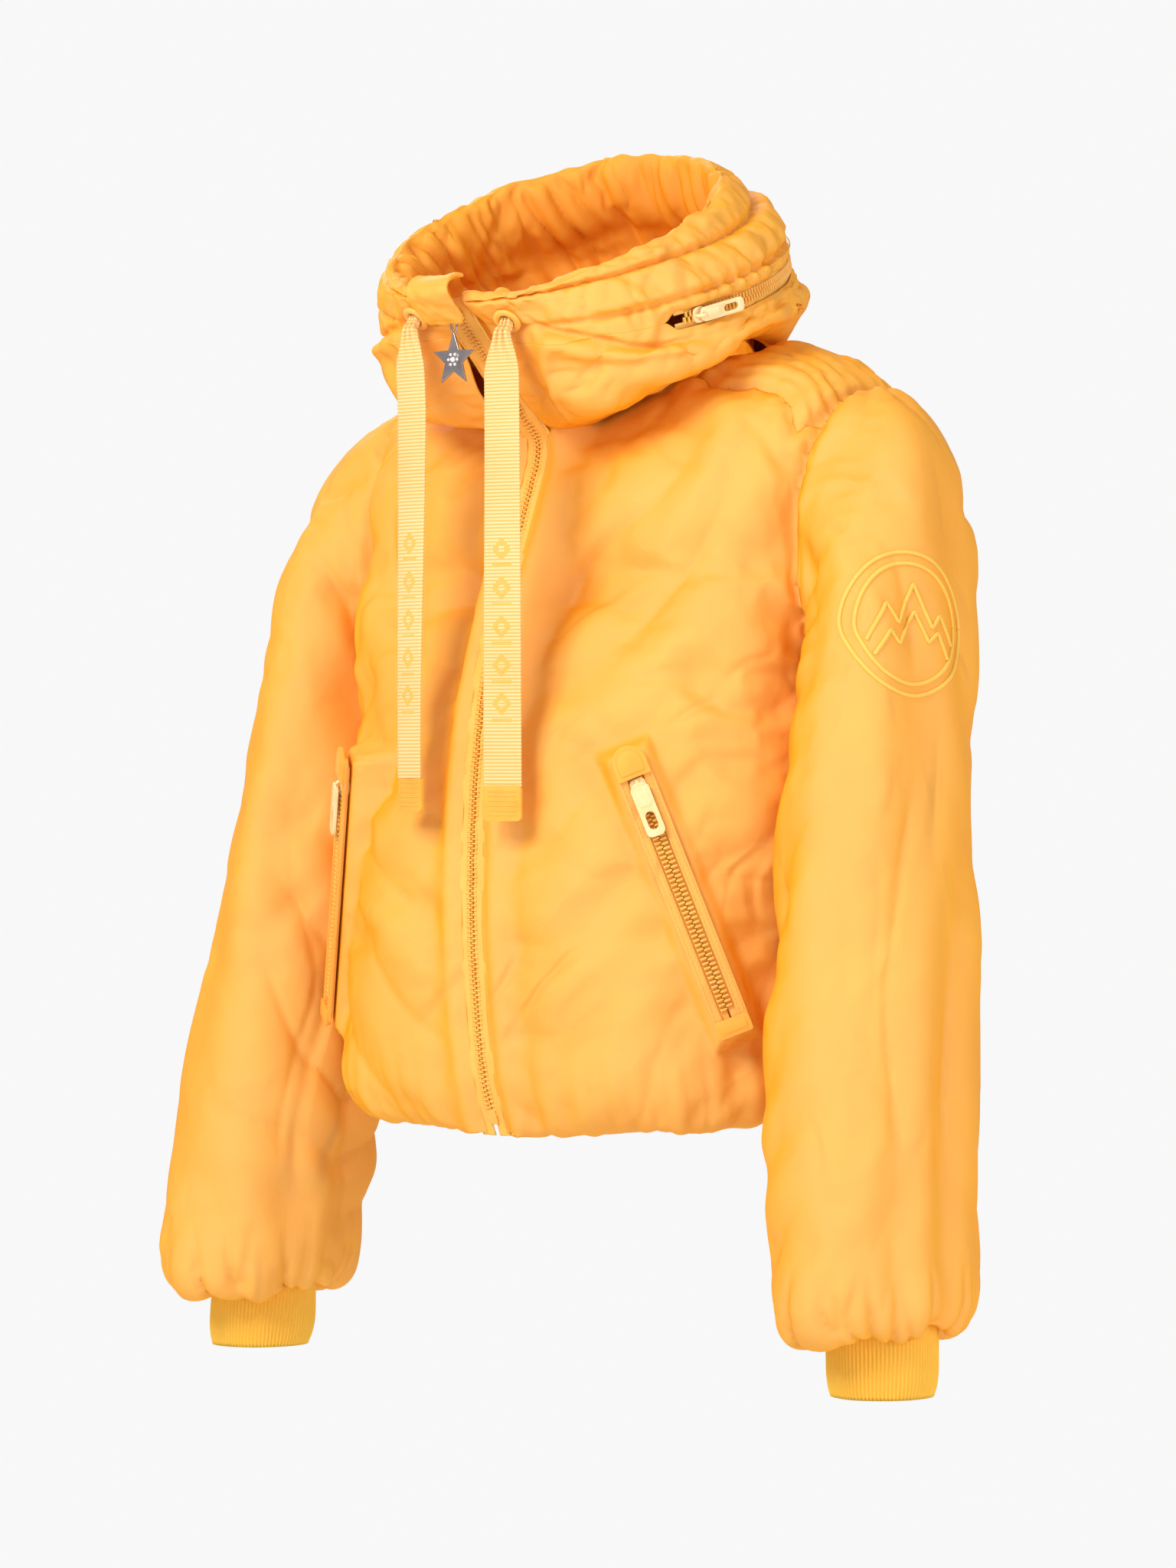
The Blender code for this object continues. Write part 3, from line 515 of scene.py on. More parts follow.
class Nodes:
    """A short way to write a node tree."""

    def __init__(self, name):
        self.material = bpy.data.materials.new(name)
        self.material.use_nodes = True
        self.tree = self.material.node_tree
        self.shader = self.tree.nodes["Principled BSDF"]

    def add(self, kind, **settings):
        node = self.tree.nodes.new(kind)
        for key, value in settings.items():
            if key.startswith("in_"):
                node.inputs[key[3:].replace("_", " ")].default_value = value
            else:
                setattr(node, key, value)
        return node

    def link(self, source, output, target, socket):
        self.tree.links.new(source.outputs[output], target.inputs[socket])

    def noise(self, scale, detail=2.0, stretch=(1, 1, 1), rough=0.5):
        place_node = self.add("ShaderNodeTexCoord")
        mapping = self.add("ShaderNodeMapping")
        mapping.inputs["Scale"].default_value = stretch
        noise_node = self.add("ShaderNodeTexNoise", in_Scale=scale, in_Detail=detail, in_Roughness=rough)
        self.link(place_node, "Object", mapping, "Vector")
        self.link(mapping, "Vector", noise_node, "Vector")
        return noise_node

    def waves(self, scale, direction, profile="SIN", distortion=0.0):
        place_node = self.add("ShaderNodeTexCoord")
        wave = self.add("ShaderNodeTexWave", bands_direction=direction, wave_profile=profile)
        wave.inputs["Scale"].default_value = scale
        wave.inputs["Distortion"].default_value = distortion
        self.link(place_node, "Object", wave, "Vector")
        return wave

    def creases(self, depth, lean, below):
        """Sharp creases that run far in one direction, in patches; lean tips them from upright."""
        place_node = self.add("ShaderNodeTexCoord")
        turned_node = self.add("ShaderNodeMapping")
        turned_node.inputs["Rotation"].default_value = (0, lean, 0)
        stretched = self.add("ShaderNodeMapping")
        stretched.inputs["Scale"].default_value = (1.0, 1.0, 0.30)
        self.link(place_node, "Object", turned_node, "Vector")
        self.link(turned_node, "Vector", stretched, "Vector")
        for scale, share, width in ((8.5, 1.0, 0.095), (18.0, 0.5, 0.110)):
            field_node = self.add("ShaderNodeTexNoise", in_Scale=scale, in_Detail=1.0, in_Distortion=0.5)
            self.link(stretched, "Vector", field_node, "Vector")
            off = self.add("ShaderNodeMath", operation="SUBTRACT")
            off.inputs[1].default_value = 0.5
            self.link(field_node, "Fac", off, 0)
            gap = self.add("ShaderNodeMath", operation="ABSOLUTE")
            self.link(off, 0, gap, 0)
            valley = self.add("ShaderNodeMapRange", interpolation_type="SMOOTHSTEP")
            valley.inputs["From Max"].default_value = width
            valley.inputs["To Min"].default_value = 1.0
            valley.inputs["To Max"].default_value = 0.0
            self.link(gap, 0, valley, "Value")
            patch = self.colours(self.noise(scale * 0.9, 1.0), "Fac", (0, 0, 0), (1, 1, 1), 0.46, 0.60)
            height = self.add("ShaderNodeMath", operation="MULTIPLY")
            self.link(valley, "Result", height, 0)
            self.link(patch, "Color", height, 1)
            below = self.bump(height, 0, -depth * share, below=below)
        return below

    def bump(self, source, output, distance, strength=1.0, below=None):
        node = self.add("ShaderNodeBump", in_Strength=strength, in_Distance=distance)
        self.link(source, output, node, "Height")
        if below:
            self.link(below, "Normal", node, "Normal")
        return node

    def colours(self, source, output, dark, light, low=0.35, high=0.65):
        ramp = self.add("ShaderNodeValToRGB")
        ramp.color_ramp.elements[0].position = low
        ramp.color_ramp.elements[0].color = (*dark, 1)
        ramp.color_ramp.elements[1].position = high
        ramp.color_ramp.elements[1].color = (*light, 1)
        self.link(source, output, ramp, "Fac")
        return ramp


def fabric(
    name, dark, light, roughness, weave, weave_depth, crinkle, sheen,
    specular=0.5, painted_sheen=0.0, crease=0.0, lean=0.0,
):
    """Woven cloth: two crossed sets of threads, fine crinkles, broad patches of tone and paler worn crests.
    The argument after specular paints a sheen: the base colour turns paler where the cloth faces the viewer
    and stays deeper towards its outline; crease is how deep its creases are."""
    n = Nodes(name)
    patches = n.noise(14.0, 3.0)
    tone = n.colours(patches, "Fac", dark, light)
    # painted sheen: the base colour is mixed towards a pale tint where the cloth faces the viewer, and stays
    # deeper at grazing angles towards its outline
    facing = n.add("ShaderNodeLayerWeight", in_Blend=0.55)
    shine = n.colours(facing, "Facing", (1, 1, 1), (0, 0, 0), 0.05, 0.85)
    amount = n.add("ShaderNodeMath", operation="MULTIPLY")
    amount.inputs[1].default_value = painted_sheen
    n.link(shine, "Color", amount, 0)
    glow = n.add("ShaderNodeMix", data_type="RGBA")
    glow.inputs[7].default_value = (1.0, 0.80, 0.52, 1)
    n.link(amount, 0, glow, 0)
    n.link(tone, "Color", glow, 6)
    crest = n.add("ShaderNodeNewGeometry")
    worn = n.colours(crest, "Pointiness", (0, 0, 0), (1, 1, 1), 0.50, 0.60)
    wear = n.add("ShaderNodeMix", data_type="RGBA")
    wear.inputs[7].default_value = (*[min(1.0, c * 1.12 + 0.05) for c in light], 1)
    scaled = n.add("ShaderNodeMath", operation="MULTIPLY")
    scaled.inputs[1].default_value = 0.35
    n.link(worn, "Color", scaled, 0)
    n.link(scaled, 0, wear, 0)
    n.link(glow, 2, wear, 6)
    n.link(wear, 2, n.shader, "Base Color")
    warp = n.waves(weave, "DIAGONAL", distortion=0.6)
    weft = n.waves(weave, "Z", distortion=0.6)
    below = n.bump(warp, "Fac", weave_depth)
    below = n.bump(weft, "Fac", weave_depth, below=below)
    for scale, share in ((45.0, 1.0), (160.0, 0.3)):
        below = n.bump(n.noise(scale, 3.0), "Fac", crinkle * share, below=below)
    if crease:
        below = n.creases(crease, lean, below)
    n.link(below, "Normal", n.shader, "Normal")
    gloss = n.noise(30.0, 2.0)
    rough_ramp = n.add("ShaderNodeMapRange")
    rough_ramp.inputs["To Min"].default_value = roughness - 0.06
    rough_ramp.inputs["To Max"].default_value = roughness + 0.08
    n.link(gloss, "Fac", rough_ramp, "Value")
    n.link(rough_ramp, "Result", n.shader, "Roughness")
    n.shader.inputs["Specular IOR Level"].default_value = specular
    n.shader.inputs["Sheen Weight"].default_value = sheen
    n.shader.inputs["Sheen Roughness"].default_value = 0.45
    n.shader.inputs["Sheen Tint"].default_value = (1.0, 0.86, 0.55, 1)
    return n.material


def hard(name, dark, light, roughness, metallic=0.0, grain=0.00004, coat=0.0):
    """Moulded or cast parts: fine grain, small changes of tone, and edges rubbed lighter."""
    n = Nodes(name)
    tone = n.colours(n.noise(60.0, 4.0), "Fac", dark, light)
    crest = n.add("ShaderNodeNewGeometry")
    worn = n.colours(crest, "Pointiness", (0, 0, 0), (0.5, 0.5, 0.5), 0.52, 0.62)
    wear = n.add("ShaderNodeMix", data_type="RGBA")
    wear.inputs[7].default_value = (*[min(1.0, c * 1.1 + 0.04) for c in light], 1)
    n.link(worn, "Color", wear, 0)
    n.link(tone, "Color", wear, 6)
    n.link(wear, 2, n.shader, "Base Color")
    below = n.bump(n.noise(900.0, 3.0), "Fac", grain)
    n.link(below, "Normal", n.shader, "Normal")
    smear = n.add("ShaderNodeMapRange")
    smear.inputs["To Min"].default_value = roughness - 0.05
    smear.inputs["To Max"].default_value = roughness + 0.12
    n.link(n.noise(120.0, 4.0), "Fac", smear, "Value")
    n.link(smear, "Result", n.shader, "Roughness")
    n.shader.inputs["Metallic"].default_value = metallic
    n.shader.inputs["Coat Weight"].default_value = coat
    return n.material


GOLD = ((0.98, 0.380, 0.004), (1.0, 0.415, 0.007))
# the number after specular is a painted sheen: how much paler the base colour is painted where the cloth
# faces the viewer
NYLON = fabric("golden_nylon", *GOLD, 0.55, 1400.0, 0.00003, 0.0006, 0, 0.28, 0.19, 0.0030, -0.15)
NYLON_FRONT = fabric("golden_nylon_front", *GOLD, 0.55, 1400.0, 0.00003, 0.0006, 0, 0.28, 0.19, 0.0036, -0.80)
LINING = fabric(
    "taffeta_lining", (0.96, 0.34, 0.004), (0.99, 0.38, 0.007), 0.55, 1600.0, 0.00002, 0.0006, 0, 0.25, 0.08,
    0.0022, 0.5,
)
RIB = fabric("rib_knit", (1.0, 0.50, 0.020), (1.0, 0.56, 0.035), 0.80, 900.0, 0.00005, 0.0003, 0, 0.2, 0.10)
TAPE = fabric(
    "zip_tape", (0.96, 0.47, 0.055), (0.99, 0.53, 0.085), 0.62, 1100.0, 0.00003, 0.0002, 0, 0.3, 0.10
)
WEAVE = (1500.0, 0.00002, 0.0002)  # of the ribbon
RIBBON = fabric("grosgrain", (0.88, 0.61, 0.26), (0.92, 0.67, 0.32), 0.68, *WEAVE, 0.1, 0.3)
# painted shade: a deeper orange copy of the ribbon for the shaded grooves between its ribs
RIBBON_GROOVE_SHADE = fabric("grosgrain_groove_shade", (0.84, 0.44, 0.10), (0.88, 0.49, 0.13), 0.72, *WEAVE, 0, 0.2)
RIBBON_MARK = fabric("grosgrain_mark", (0.88, 0.47, 0.09), (0.91, 0.51, 0.11), 0.66, *WEAVE, 0, 0.3)
THREAD = fabric("thread", (0.96, 0.47, 0.05), (0.99, 0.55, 0.09), 0.45, 2500.0, 0.00002, 0.0001, 0)
CORD = fabric("embroidery", (1.0, 0.54, 0.065), (1.0, 0.61, 0.10), 0.45, 2600.0, 0.00002, 0.0001, 0)
TEETH = hard("moulded_teeth", (0.95, 0.42, 0.045), (0.98, 0.50, 0.075), 0.38, coat=0.15)
TRIM = hard("soft_trim", (0.94, 0.38, 0.030), (0.97, 0.44, 0.045), 0.50, grain=0.00008)
PULL = hard("lacquered_pull", (0.94, 0.66, 0.28), (0.97, 0.75, 0.40), 0.28, coat=0.4)
RING = hard("eyelet_lacquer", (0.95, 0.44, 0.05), (0.98, 0.52, 0.08), 0.42, coat=0.1)
STAR = hard("gunmetal", (0.36, 0.31, 0.31), (0.50, 0.44, 0.43), 0.24, 1.0, 0.00002)
STONE = hard("cut_stone", (0.86, 0.88, 0.93), (0.95, 0.96, 1.0), 0.05, 0.35, 0.0, 1.0)
# painted shade: near-black cloth for the shade seen inside the eyelets' holes
PAINTED_HOLE_SHADE = fabric("painted_hole_shade", (0.10, 0.035, 0.01), (0.16, 0.06, 0.012), 0.8, 1500.0, 0.00002, 0.0003, 0.0, 0.2)

# ---------------------------------------------------------------- the shell


def torso_frame(points):
    """Angle in degrees from the front, height along the panel, and how far out: 1 on the outline."""
    table = np.array(TORSO)
    angle = np.zeros(len(points))
    height = points[:, 2].copy()
    out = np.ones(len(points))
    for _ in range(3):
        at = np.clip(height, 0, BODY_LENGTH)
        half_width, half_depth, centre = (np.interp(at, table[:, 0], table[:, k]) for k in (1, 2, 3))
        a = points[:, 0] / half_width
        b = -(points[:, 1] - centre + chest_fill(at, np.cos(np.radians(angle)))) / half_depth
        s = np.sign(a) * np.abs(a) ** (SQUARENESS / 2)
        c = np.sign(b) * np.abs(b) ** (SQUARENESS / 2)
        angle = np.degrees(np.arctan2(s, c))
        out = (np.abs(a) ** SQUARENESS + np.abs(b) ** SQUARENESS) ** (1 / SQUARENESS)
        height = points[:, 2] / (1 - NECK_DIP / BODY_LENGTH * np.maximum(0, np.cos(np.radians(angle))) ** 2)
    return angle, height, out


def torso_solid():
    levels = [0.006, 0.010, 0.020] + [0.04 + 0.02 * i for i in range(20)]
    levels += [0.45, 0.462, 0.474, 0.484, 0.493, 0.5, 0.505]
    rings = []
    for level in levels:
        inset = SHELL_INSET + (0.010 - level if level < 0.010 else 0.0)
        rings.append([torso_point(360 * i / 96, level, inset) for i in range(96)])
    return make_object("torso_solid", *lofted(rings))


def sleeve_solid(side):
    steps = [-1.5 + 0.25 * i for i in range(53)] + [11.8]
    rings = []
    for step in steps:
        inset = SHELL_INSET * (0.8 if step < 10 else 0.5)
        ring = [sleeve_point(step, 2 * math.pi * i / 64, side, inset) for i in range(64)]
        rings.append(ring if side > 0 else ring[::-1])
    verts, faces = lofted(rings)
    return make_object("sleeve_solid", verts, faces)


def outward(obj):
    bm = bmesh.new()
    bm.from_mesh(obj.data)
    bmesh.ops.recalc_face_normals(bm, faces=bm.faces)
    bm.to_mesh(obj.data)
    bm.free()


def pocket_frame(label):
    """The middle of a pocket zip: Y runs up along it, Z points out."""
    x, y = -joint_axis(f"pocket_pull_{label}"), -joint_axis(f"pocket_zip_{label}")
    bar = axes_at(joint_point(f"pocket_pull_{label}"), x, y)
    return bar @ Matrix.Translation((0, -0.0726, -0.0033))


def local(points, matrix):
    inverse = np.array(matrix.inverted())
    return points @ inverse[:3, :3].T + inverse[:3, 3]


def shell_fields(obj, arm_trees):
    """Store where each vertex lies on the pattern: these numbers later place every seam, cut and gather."""
    points = coords(obj)
    angle, height, out = torso_frame(points)
    torso_tree, left_tree, right_tree = arm_trees
    from_torso = distances(torso_tree, points)
    from_sleeve = np.minimum(distances(left_tree, points), distances(right_tree, points))
    keep_field(obj, "arm", from_torso - from_sleeve)
    keep_field(obj, "angle", angle)
    keep_field(obj, "height", height)
    keep_field(obj, "side", points[:, 0])
    keep_field(obj, "front", (90 - np.abs(angle)) * 0.0031)
    yoke_half = (YOKE_HALF_DEG - np.abs(np.abs(angle) - 90)) * 0.0025
    keep_field(obj, "yoke", np.minimum(yoke_half, height - YOKE_FROM))
    keep_field(obj, "opening", np.where(angle_is_front(angle), np.abs(points[:, 0]) - ZIP_OPENING, 0.05))
    under = np.where(points[:, 2] < 0.03, 0.020 - (1 - out) * 0.15, 0.05)
    neck = np.hypot(points[:, 0] / 0.100, (points[:, 1] - 0.010) / 0.066) - 1
    neck = np.where(points[:, 2] > 0.40, neck * 0.08, 0.05)
    wrist = np.hypot(np.abs(points[:, 0]) - CUFF_X, points[:, 1] - CUFF_Y) - 0.0335
    wrist = np.where((points[:, 2] < -0.09), wrist, 0.05)
    keep_field(obj, "hole", np.minimum(np.minimum(under, neck), wrist))
    keep_field(obj, "z0", points[:, 2])


def angle_is_front(angle):
    return np.abs(angle) < 60


def shell_pins(obj):
    """How firmly each point is held while the shell swells: 1 at seams, edges and pockets."""
    arm, front, yoke = field(obj, "arm"), field(obj, "front"), field(obj, "yoke")
    opening, hole, height = field(obj, "opening"), field(obj, "hole"), field(obj, "height")
    points = coords(obj)
    body = arm < 0

    pins = near(arm, 0.007) * 0.8
    pins = np.maximum(pins, np.where(body, near(front, 0.006) * 0.35, 0))
    pins = np.maximum(pins, np.where(body, near(yoke, 0.006) * 0.5, 0))
    pins = np.maximum(pins, near(opening, 0.006))
    pins = np.maximum(pins, near(hole, 0.006))
    pins = np.maximum(pins, np.where(body & (np.abs(height - 0.506) < 0.01), 1.0, 0))
    for label in ("left", "right"):
        at = local(points, pocket_frame(label))
        gap = np.maximum(np.maximum(np.abs(at[:, 0]) - 0.011, np.abs(at[:, 1]) - 0.092), 0)
        close = np.abs(at[:, 2]) < 0.04
        pins = np.maximum(pins, np.where(close, near(gap, 0.008), 0))
    return np.clip(pins, 0, 1)


def valleys(values, width):
    """1 along the lines where noise crosses zero, falling off to both sides: the valleys between folds."""
    return np.exp(-np.abs(values) / width)


def fold_lines(across, points, spacing, seed, warp):
    """Long folds that never close on themselves: a swell between two folds, and a narrow valley along each.
    across is how far a point lies across the folds, in metres; warp bends them, in spacings."""
    phase = across / spacing + warp * rough(points, 0.14, seed, 1)
    gap = np.abs(phase - np.round(phase))
    return -np.cos(2 * math.pi * phase), np.exp(-gap / 0.05)


def sleeve_turn(points):
    """The angle round the sleeve's own middle: 0 on the outer side, positive over the front."""
    table = np.array(SLEEVE[2:])
    levels = (table[:, 2] + table[:, 4]) / 2
    order = np.argsort(levels)
    middle_x = np.interp(points[:, 2], levels[order], ((table[:, 1] + table[:, 3]) / 2)[order])
    middle_y = np.interp(points[:, 2], levels[order], table[:, 5][order])
    return np.arctan2(middle_y - points[:, 1], np.abs(points[:, 0]) - middle_x)


def folds(values, sharpness=2.0):
    """Turn noise into soft ridges with narrow valleys: 0 in a valley, 1 on a ridge."""
    return 1 - (1 - np.abs(values)).clip(0, 1) ** sharpness


def crease_shell(obj):
    """Seams, gathers and drapes, pressed into the swollen shell along its own normals."""
    points, out = coords(obj), normals(obj)
    arm, front, yoke = field(obj, "arm"), field(obj, "front"), field(obj, "yoke")
    opening, hole, height = field(obj, "opening"), field(obj, "hole"), field(obj, "height")
    angle, z = field(obj, "angle"), field(obj, "z0")
    body = arm < 0
    move = np.zeros(len(points))

    # drapes over the whole garment: broad swells, and long narrow folds pressed between them
    facing = near(angle, 80)
    high = ease(0.20, 0.34, height)
    girth = np.abs(angle) * 0.0031
    chest = fold_lines(girth * 0.86 - height * 0.50, points, 0.085, 1, 1.1)
    belly = fold_lines(girth * 0.42 - height * 0.90, points, 0.070, 2, 1.2)
    back = fold_lines(girth, points, 0.090, 3, 1.3)
    patch = ease(-0.25, 0.30, rough(points, 0.10, 7, 1))
    shares = (facing * high, facing * (1 - high), 1 - facing)
    for (swell, valley), share in zip((chest, belly, back), shares):
        move += np.where(body, share * (0.0020 * swell - 0.0028 * valley * patch), 0)
    move += np.where(body, 0.0034 * rough(points, 0.085, 12, 1), 0)
    # wrinkles pulled towards the armpit and the side seam
    swell, valley = fold_lines(girth * 0.55 - height * 0.83, points, 0.034, 8, 0.9)
    at_side = near(front, 0.055) * ease(0.02, 0.10, height) * (1 - 0.6 * ease(0.36, 0.42, height))
    move += np.where(body, (0.0012 * swell - 0.0026 * valley) * at_side, 0)
    # long soft folds down the sleeves, slanting creases inside the elbow, and gathers above the cuff
    around = sleeve_turn(points)
    swell, valley = fold_lines(around * 5 / (2 * math.pi) * 0.088 + z * 0.12, points, 0.088, 9, 0.8)
    arm_patch = ease(-0.2, 0.35, rough(points, 0.10, 11, 1))
    move_arm = 0.0020 * swell - 0.0026 * valley * arm_patch + 0.0026 * rough(points, 0.09, 13, 1)
    swell, valley = fold_lines(np.abs(around) * 0.045 + z * 0.80, points, 0.052, 10, 1.1)
    inner = ease(1.1, 2.3, np.abs(around)) * ease(-0.10, -0.02, z) + 0.18
    move_arm += (0.0014 * swell - 0.0028 * valley * arm_patch) * inner
    move += np.where(body, 0, move_arm)
    turn = np.arctan2(points[:, 1] - CUFF_Y, np.abs(points[:, 0]) - CUFF_X)
    rounds = [(3.4 * math.cos(t), 3.4 * math.sin(t), s * 2) for t, s in zip(turn, z * 6)]
    gather = np.array([noise.noise(Vector(at)) for at in rounds])
    wrist = ease(-0.050, -0.114, z)
    move += np.where(body, 0, (0.003 - 0.0075 * valleys(gather, 0.16)) * wrist)
    # seams: a groove with puckers across it
    pucker = rough(points, 0.011, 8, 2)
    for distance, depth, side in (
        (arm, 0.0060, np.ones(len(points), bool)),
        (front, 0.0030, body & (height < YOKE_FROM)),
        (yoke, 0.0032, body),
    ):
        groove = -depth * near(distance, 0.0045) + 0.0010 * pucker * near(distance, 0.014)
        move += np.where(side, groove, 0)
    # quilted rows on the shoulder yoke
    row = np.abs(np.abs(angle) - 90) * 0.0025
    for at in YOKE_ROWS:
        groove = -0.0022 * near(row - at, 0.0022) + 0.0007 * pucker * near(row - at, 0.008)
        move += np.where(body & (yoke > 0.0), groove * ease(0.0, 0.006, yoke), 0)
    # the hem rolls over its elastic in small puffs
    turn = np.array([noise.noise(Vector((a / 5.5, 0.3, 4.0))) for a in angle])
    move += np.where(body, folds(turn, 2.5) * 0.0026 * ease(0.075, 0.015, z), 0)
    # puckers beside the front zip
    levels = zip(points[:, 2], np.sign(points[:, 0]))
    row = np.array([noise.noise(Vector((h * 62, x * 3, 9.0))) for h, x in levels])
    move += np.where(body, row * 0.0022 * near(opening - 0.010, 0.012), 0)
    move *= ease(0.0, 0.012, hole) * ease(0.0, 0.010, opening)
    points = points + out * move[:, None]
    # the hem hangs lower at the front
    points[:, 2] -= np.where(body, HEM_DIP * near(angle, 50) * ease(0.10, 0.0, z), 0)
    # the front edges turn in under the zip
    zip_y = np.interp(points[:, 2], [row[1] for row in ZIP_LINE[:11]], [row[0] for row in ZIP_LINE[:11]])
    lip = np.clip(opening, 0, None)
    target = zip_y - 0.0012 - 0.0065 * ease(0.0, 0.013, lip)
    share = 1 - ease(0.004, 0.030, lip)
    share = np.where(body & angle_is_front(angle) & (points[:, 2] > -0.02), share, 0)
    points[:, 1] += (target - points[:, 1]) * share
    points = press_pockets(points)
    set_coords(obj, points)


def press_pockets(points):
    """Sink the shell under each pocket's welt, with soft shoulders beside it."""
    for label in ("left", "right"):
        matrix = pocket_frame(label)
        at = local(points, matrix)
        gap = np.maximum(np.abs(at[:, 0]) - 0.0105, np.abs(at[:, 1]) - 0.093)
        close = np.abs(at[:, 2]) < 0.035
        share = np.where(close, 1 - ease(0.0, 0.009, gap), 0)
        level = -0.0040 + 0.003 * ease(-0.001, 0.007, gap)
        at[:, 2] += (level - at[:, 2]) * share
        turn = np.array(matrix)
        moved = at @ turn[:3, :3].T + turn[:3, 3]
        points = np.where(share[:, None] > 0, moved, points)
    return points


def relax(obj, rounds, share=0.5):
    """Smooth a mesh a little, as fabric does where folds run into each other."""
    bm = bmesh.new()
    bm.from_mesh(obj.data)
    for _ in range(rounds):
        bmesh.ops.smooth_vert(
            bm, verts=bm.verts, factor=share, use_axis_x=True, use_axis_y=True, use_axis_z=True
        )
    bm.to_mesh(obj.data)
    bm.free()


def build_shell():
    torso, left, right = torso_solid(), sleeve_solid(1), sleeve_solid(-1)
    for part in (torso, left, right):
        outward(part)
    trees = [tree_of(part) for part in (torso, left, right)]
    bm = bmesh.new()
    for part in (torso, left, right):
        bm.from_mesh(part.data)
        bpy.data.objects.remove(part)
    shell = object_from(bm, "shell")
    remesh = shell.modifiers.new("even mesh", "REMESH")
    remesh.mode = "VOXEL"
    remesh.voxel_size = VOXEL
    apply_modifiers(shell)
    relax(shell, 4)
    shell_fields(shell, trees)
    inflate(shell, shell_pins(shell), 3.2, 0.05, 18, 0.015)
    subdivide(shell)
    crease_shell(shell)
    relax(shell, 1, 0.35)
    return shell


FIELDS = ("arm", "angle", "height", "side", "front", "yoke", "opening", "hole", "z0")
PANELS = {
    "front_left_panel": (("arm", -1), ("side", 1), ("front", 1), ("yoke", -1)),
    "front_right_panel": (("arm", -1), ("side", -1), ("front", 1), ("yoke", -1)),
    "back_panel": (("arm", -1), ("front", -1), ("yoke", -1)),
    "yoke_left_panel": (("arm", -1), ("side", 1), ("yoke", 1)),
    "yoke_right_panel": (("arm", -1), ("side", -1), ("yoke", 1)),
    "sleeve_left_panel": (("arm", 1), ("side", 1)),
    "sleeve_right_panel": (("arm", 1), ("side", -1)),
}


def cut_pieces(shell):
    """Cut the creased shell along its seams into the panels it is sewn from."""
    cut_away(shell, "hole")
    cut_away(shell, "opening")
    found = {}
    for name, cuts in PANELS.items():
        piece = copy_of(shell, name)
        for key, sign in cuts:
            if sign < 0:
                keep_field(piece, key, -field(piece, key))
            cut_away(piece, key)
        thicken(piece, 0.0011)
        for attribute in [a.name for a in piece.data.attributes if a.name in FIELDS]:
            piece.data.attributes.remove(piece.data.attributes[attribute])
        found[name] = piece
    bpy.data.objects.remove(shell)
    return found


def bend_at_shoulder(piece, label):
    """The armhole stays on the body while the sleeve swings, and the cloth below it stretches."""
    side = 1 if label == "left" else -1
    start = Vector((side * 0.190, 0, 0.275)) + TO_FRAME
    end = Vector((side * 0.262, 0, 0.237)) + TO_FRAME
    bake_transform(piece, "jacket", f"sleeve_{label}", start, end)


def dress_shell(panels):
    for label in ("left", "right"):
        stands_for = (f"front_{label}_shell", f"front_{label}_padding", f"pocket_bag_{label}")
        place(panels[f"front_{label}_panel"], "jacket", NYLON_FRONT, "body_shell", *stands_for)
        place(panels[f"yoke_{label}_panel"], "jacket", NYLON, "body_shell", f"yoke_{label}")
        sleeve = place(panels[f"sleeve_{label}_panel"], None, NYLON, "body_shell")
        bend_at_shoulder(sleeve, label)
        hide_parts(f"sleeve_shell_{label}", f"sleeve_padding_{label}")
    place(panels["back_panel"], "jacket", NYLON, "body_shell", "back_shell", "back_padding")


# ---------------------------------------------------------------- collar


def rim_seam(angle):
    """The collar step of the seam under the rim: at the front it lies almost on the rim."""
    return 5.75 - 0.55 * float(ease(25, 120, abs(angle)))


def channel_seam(angle):
    """The collar step of the lower stitching of the drawcord's channel."""
    return 3.96 + 0.10 * float(ease(20, 90, abs(angle)))


def collar_sheet():
    """Both walls of the collar as one sheet: up the outside, over the rim and down the inside."""
    columns, rows = 230, 84

    def surface(u, v):
        angle = COLLAR_START_DEG + (360 - 2 * COLLAR_START_DEG) * u
        signed = angle if angle <= 180 else angle - 360
        step = 10 * v
        return collar_point(signed, step)

    verts, faces = grid(surface, columns, rows)
    made = make_object("collar_sheet", verts, faces)
    turns, steps = [], []
    for j in range(rows + 1):
        for i in range(columns + 1):
            angle = COLLAR_START_DEG + (360 - 2 * COLLAR_START_DEG) * i / columns
            turns.append(angle if angle <= 180 else angle - 360)
            steps.append(10 * j / rows)
    keep_field(made, "turn", turns)
    keep_field(made, "step", steps)
    return made


def collar_pins(obj):
    turn, step = field(obj, "turn"), field(obj, "step")
    seams = np.array([(rim_seam(t), channel_seam(t)) for t in turn])

    zipped = ease(COLLAR_ZIP_FROM_DEG - 8, COLLAR_ZIP_FROM_DEG, np.abs(turn))
    pins = near(step - seams[:, 0], 0.16) * 0.9
    pins = np.maximum(pins, near(step - seams[:, 1], 0.14))
    pins = np.maximum(pins, near(step - 3.5, 0.25) * zipped)
    pins = np.maximum(pins, near(np.minimum(step, 10 - step), 0.5))
    pins = np.maximum(pins, near(np.abs(turn) - COLLAR_START_DEG, 3.0))
    return np.clip(pins, 0, 1)


def ripple(turn, step, period, seed, slant=0.0):
    """Noise along the collar's length, slanting as it climbs."""
    places = [((t + slant * s) / period, 0.35 * s, seed) for t, s in zip(turn, step)]
    return np.array([noise.noise(Vector(at)) for at in places])


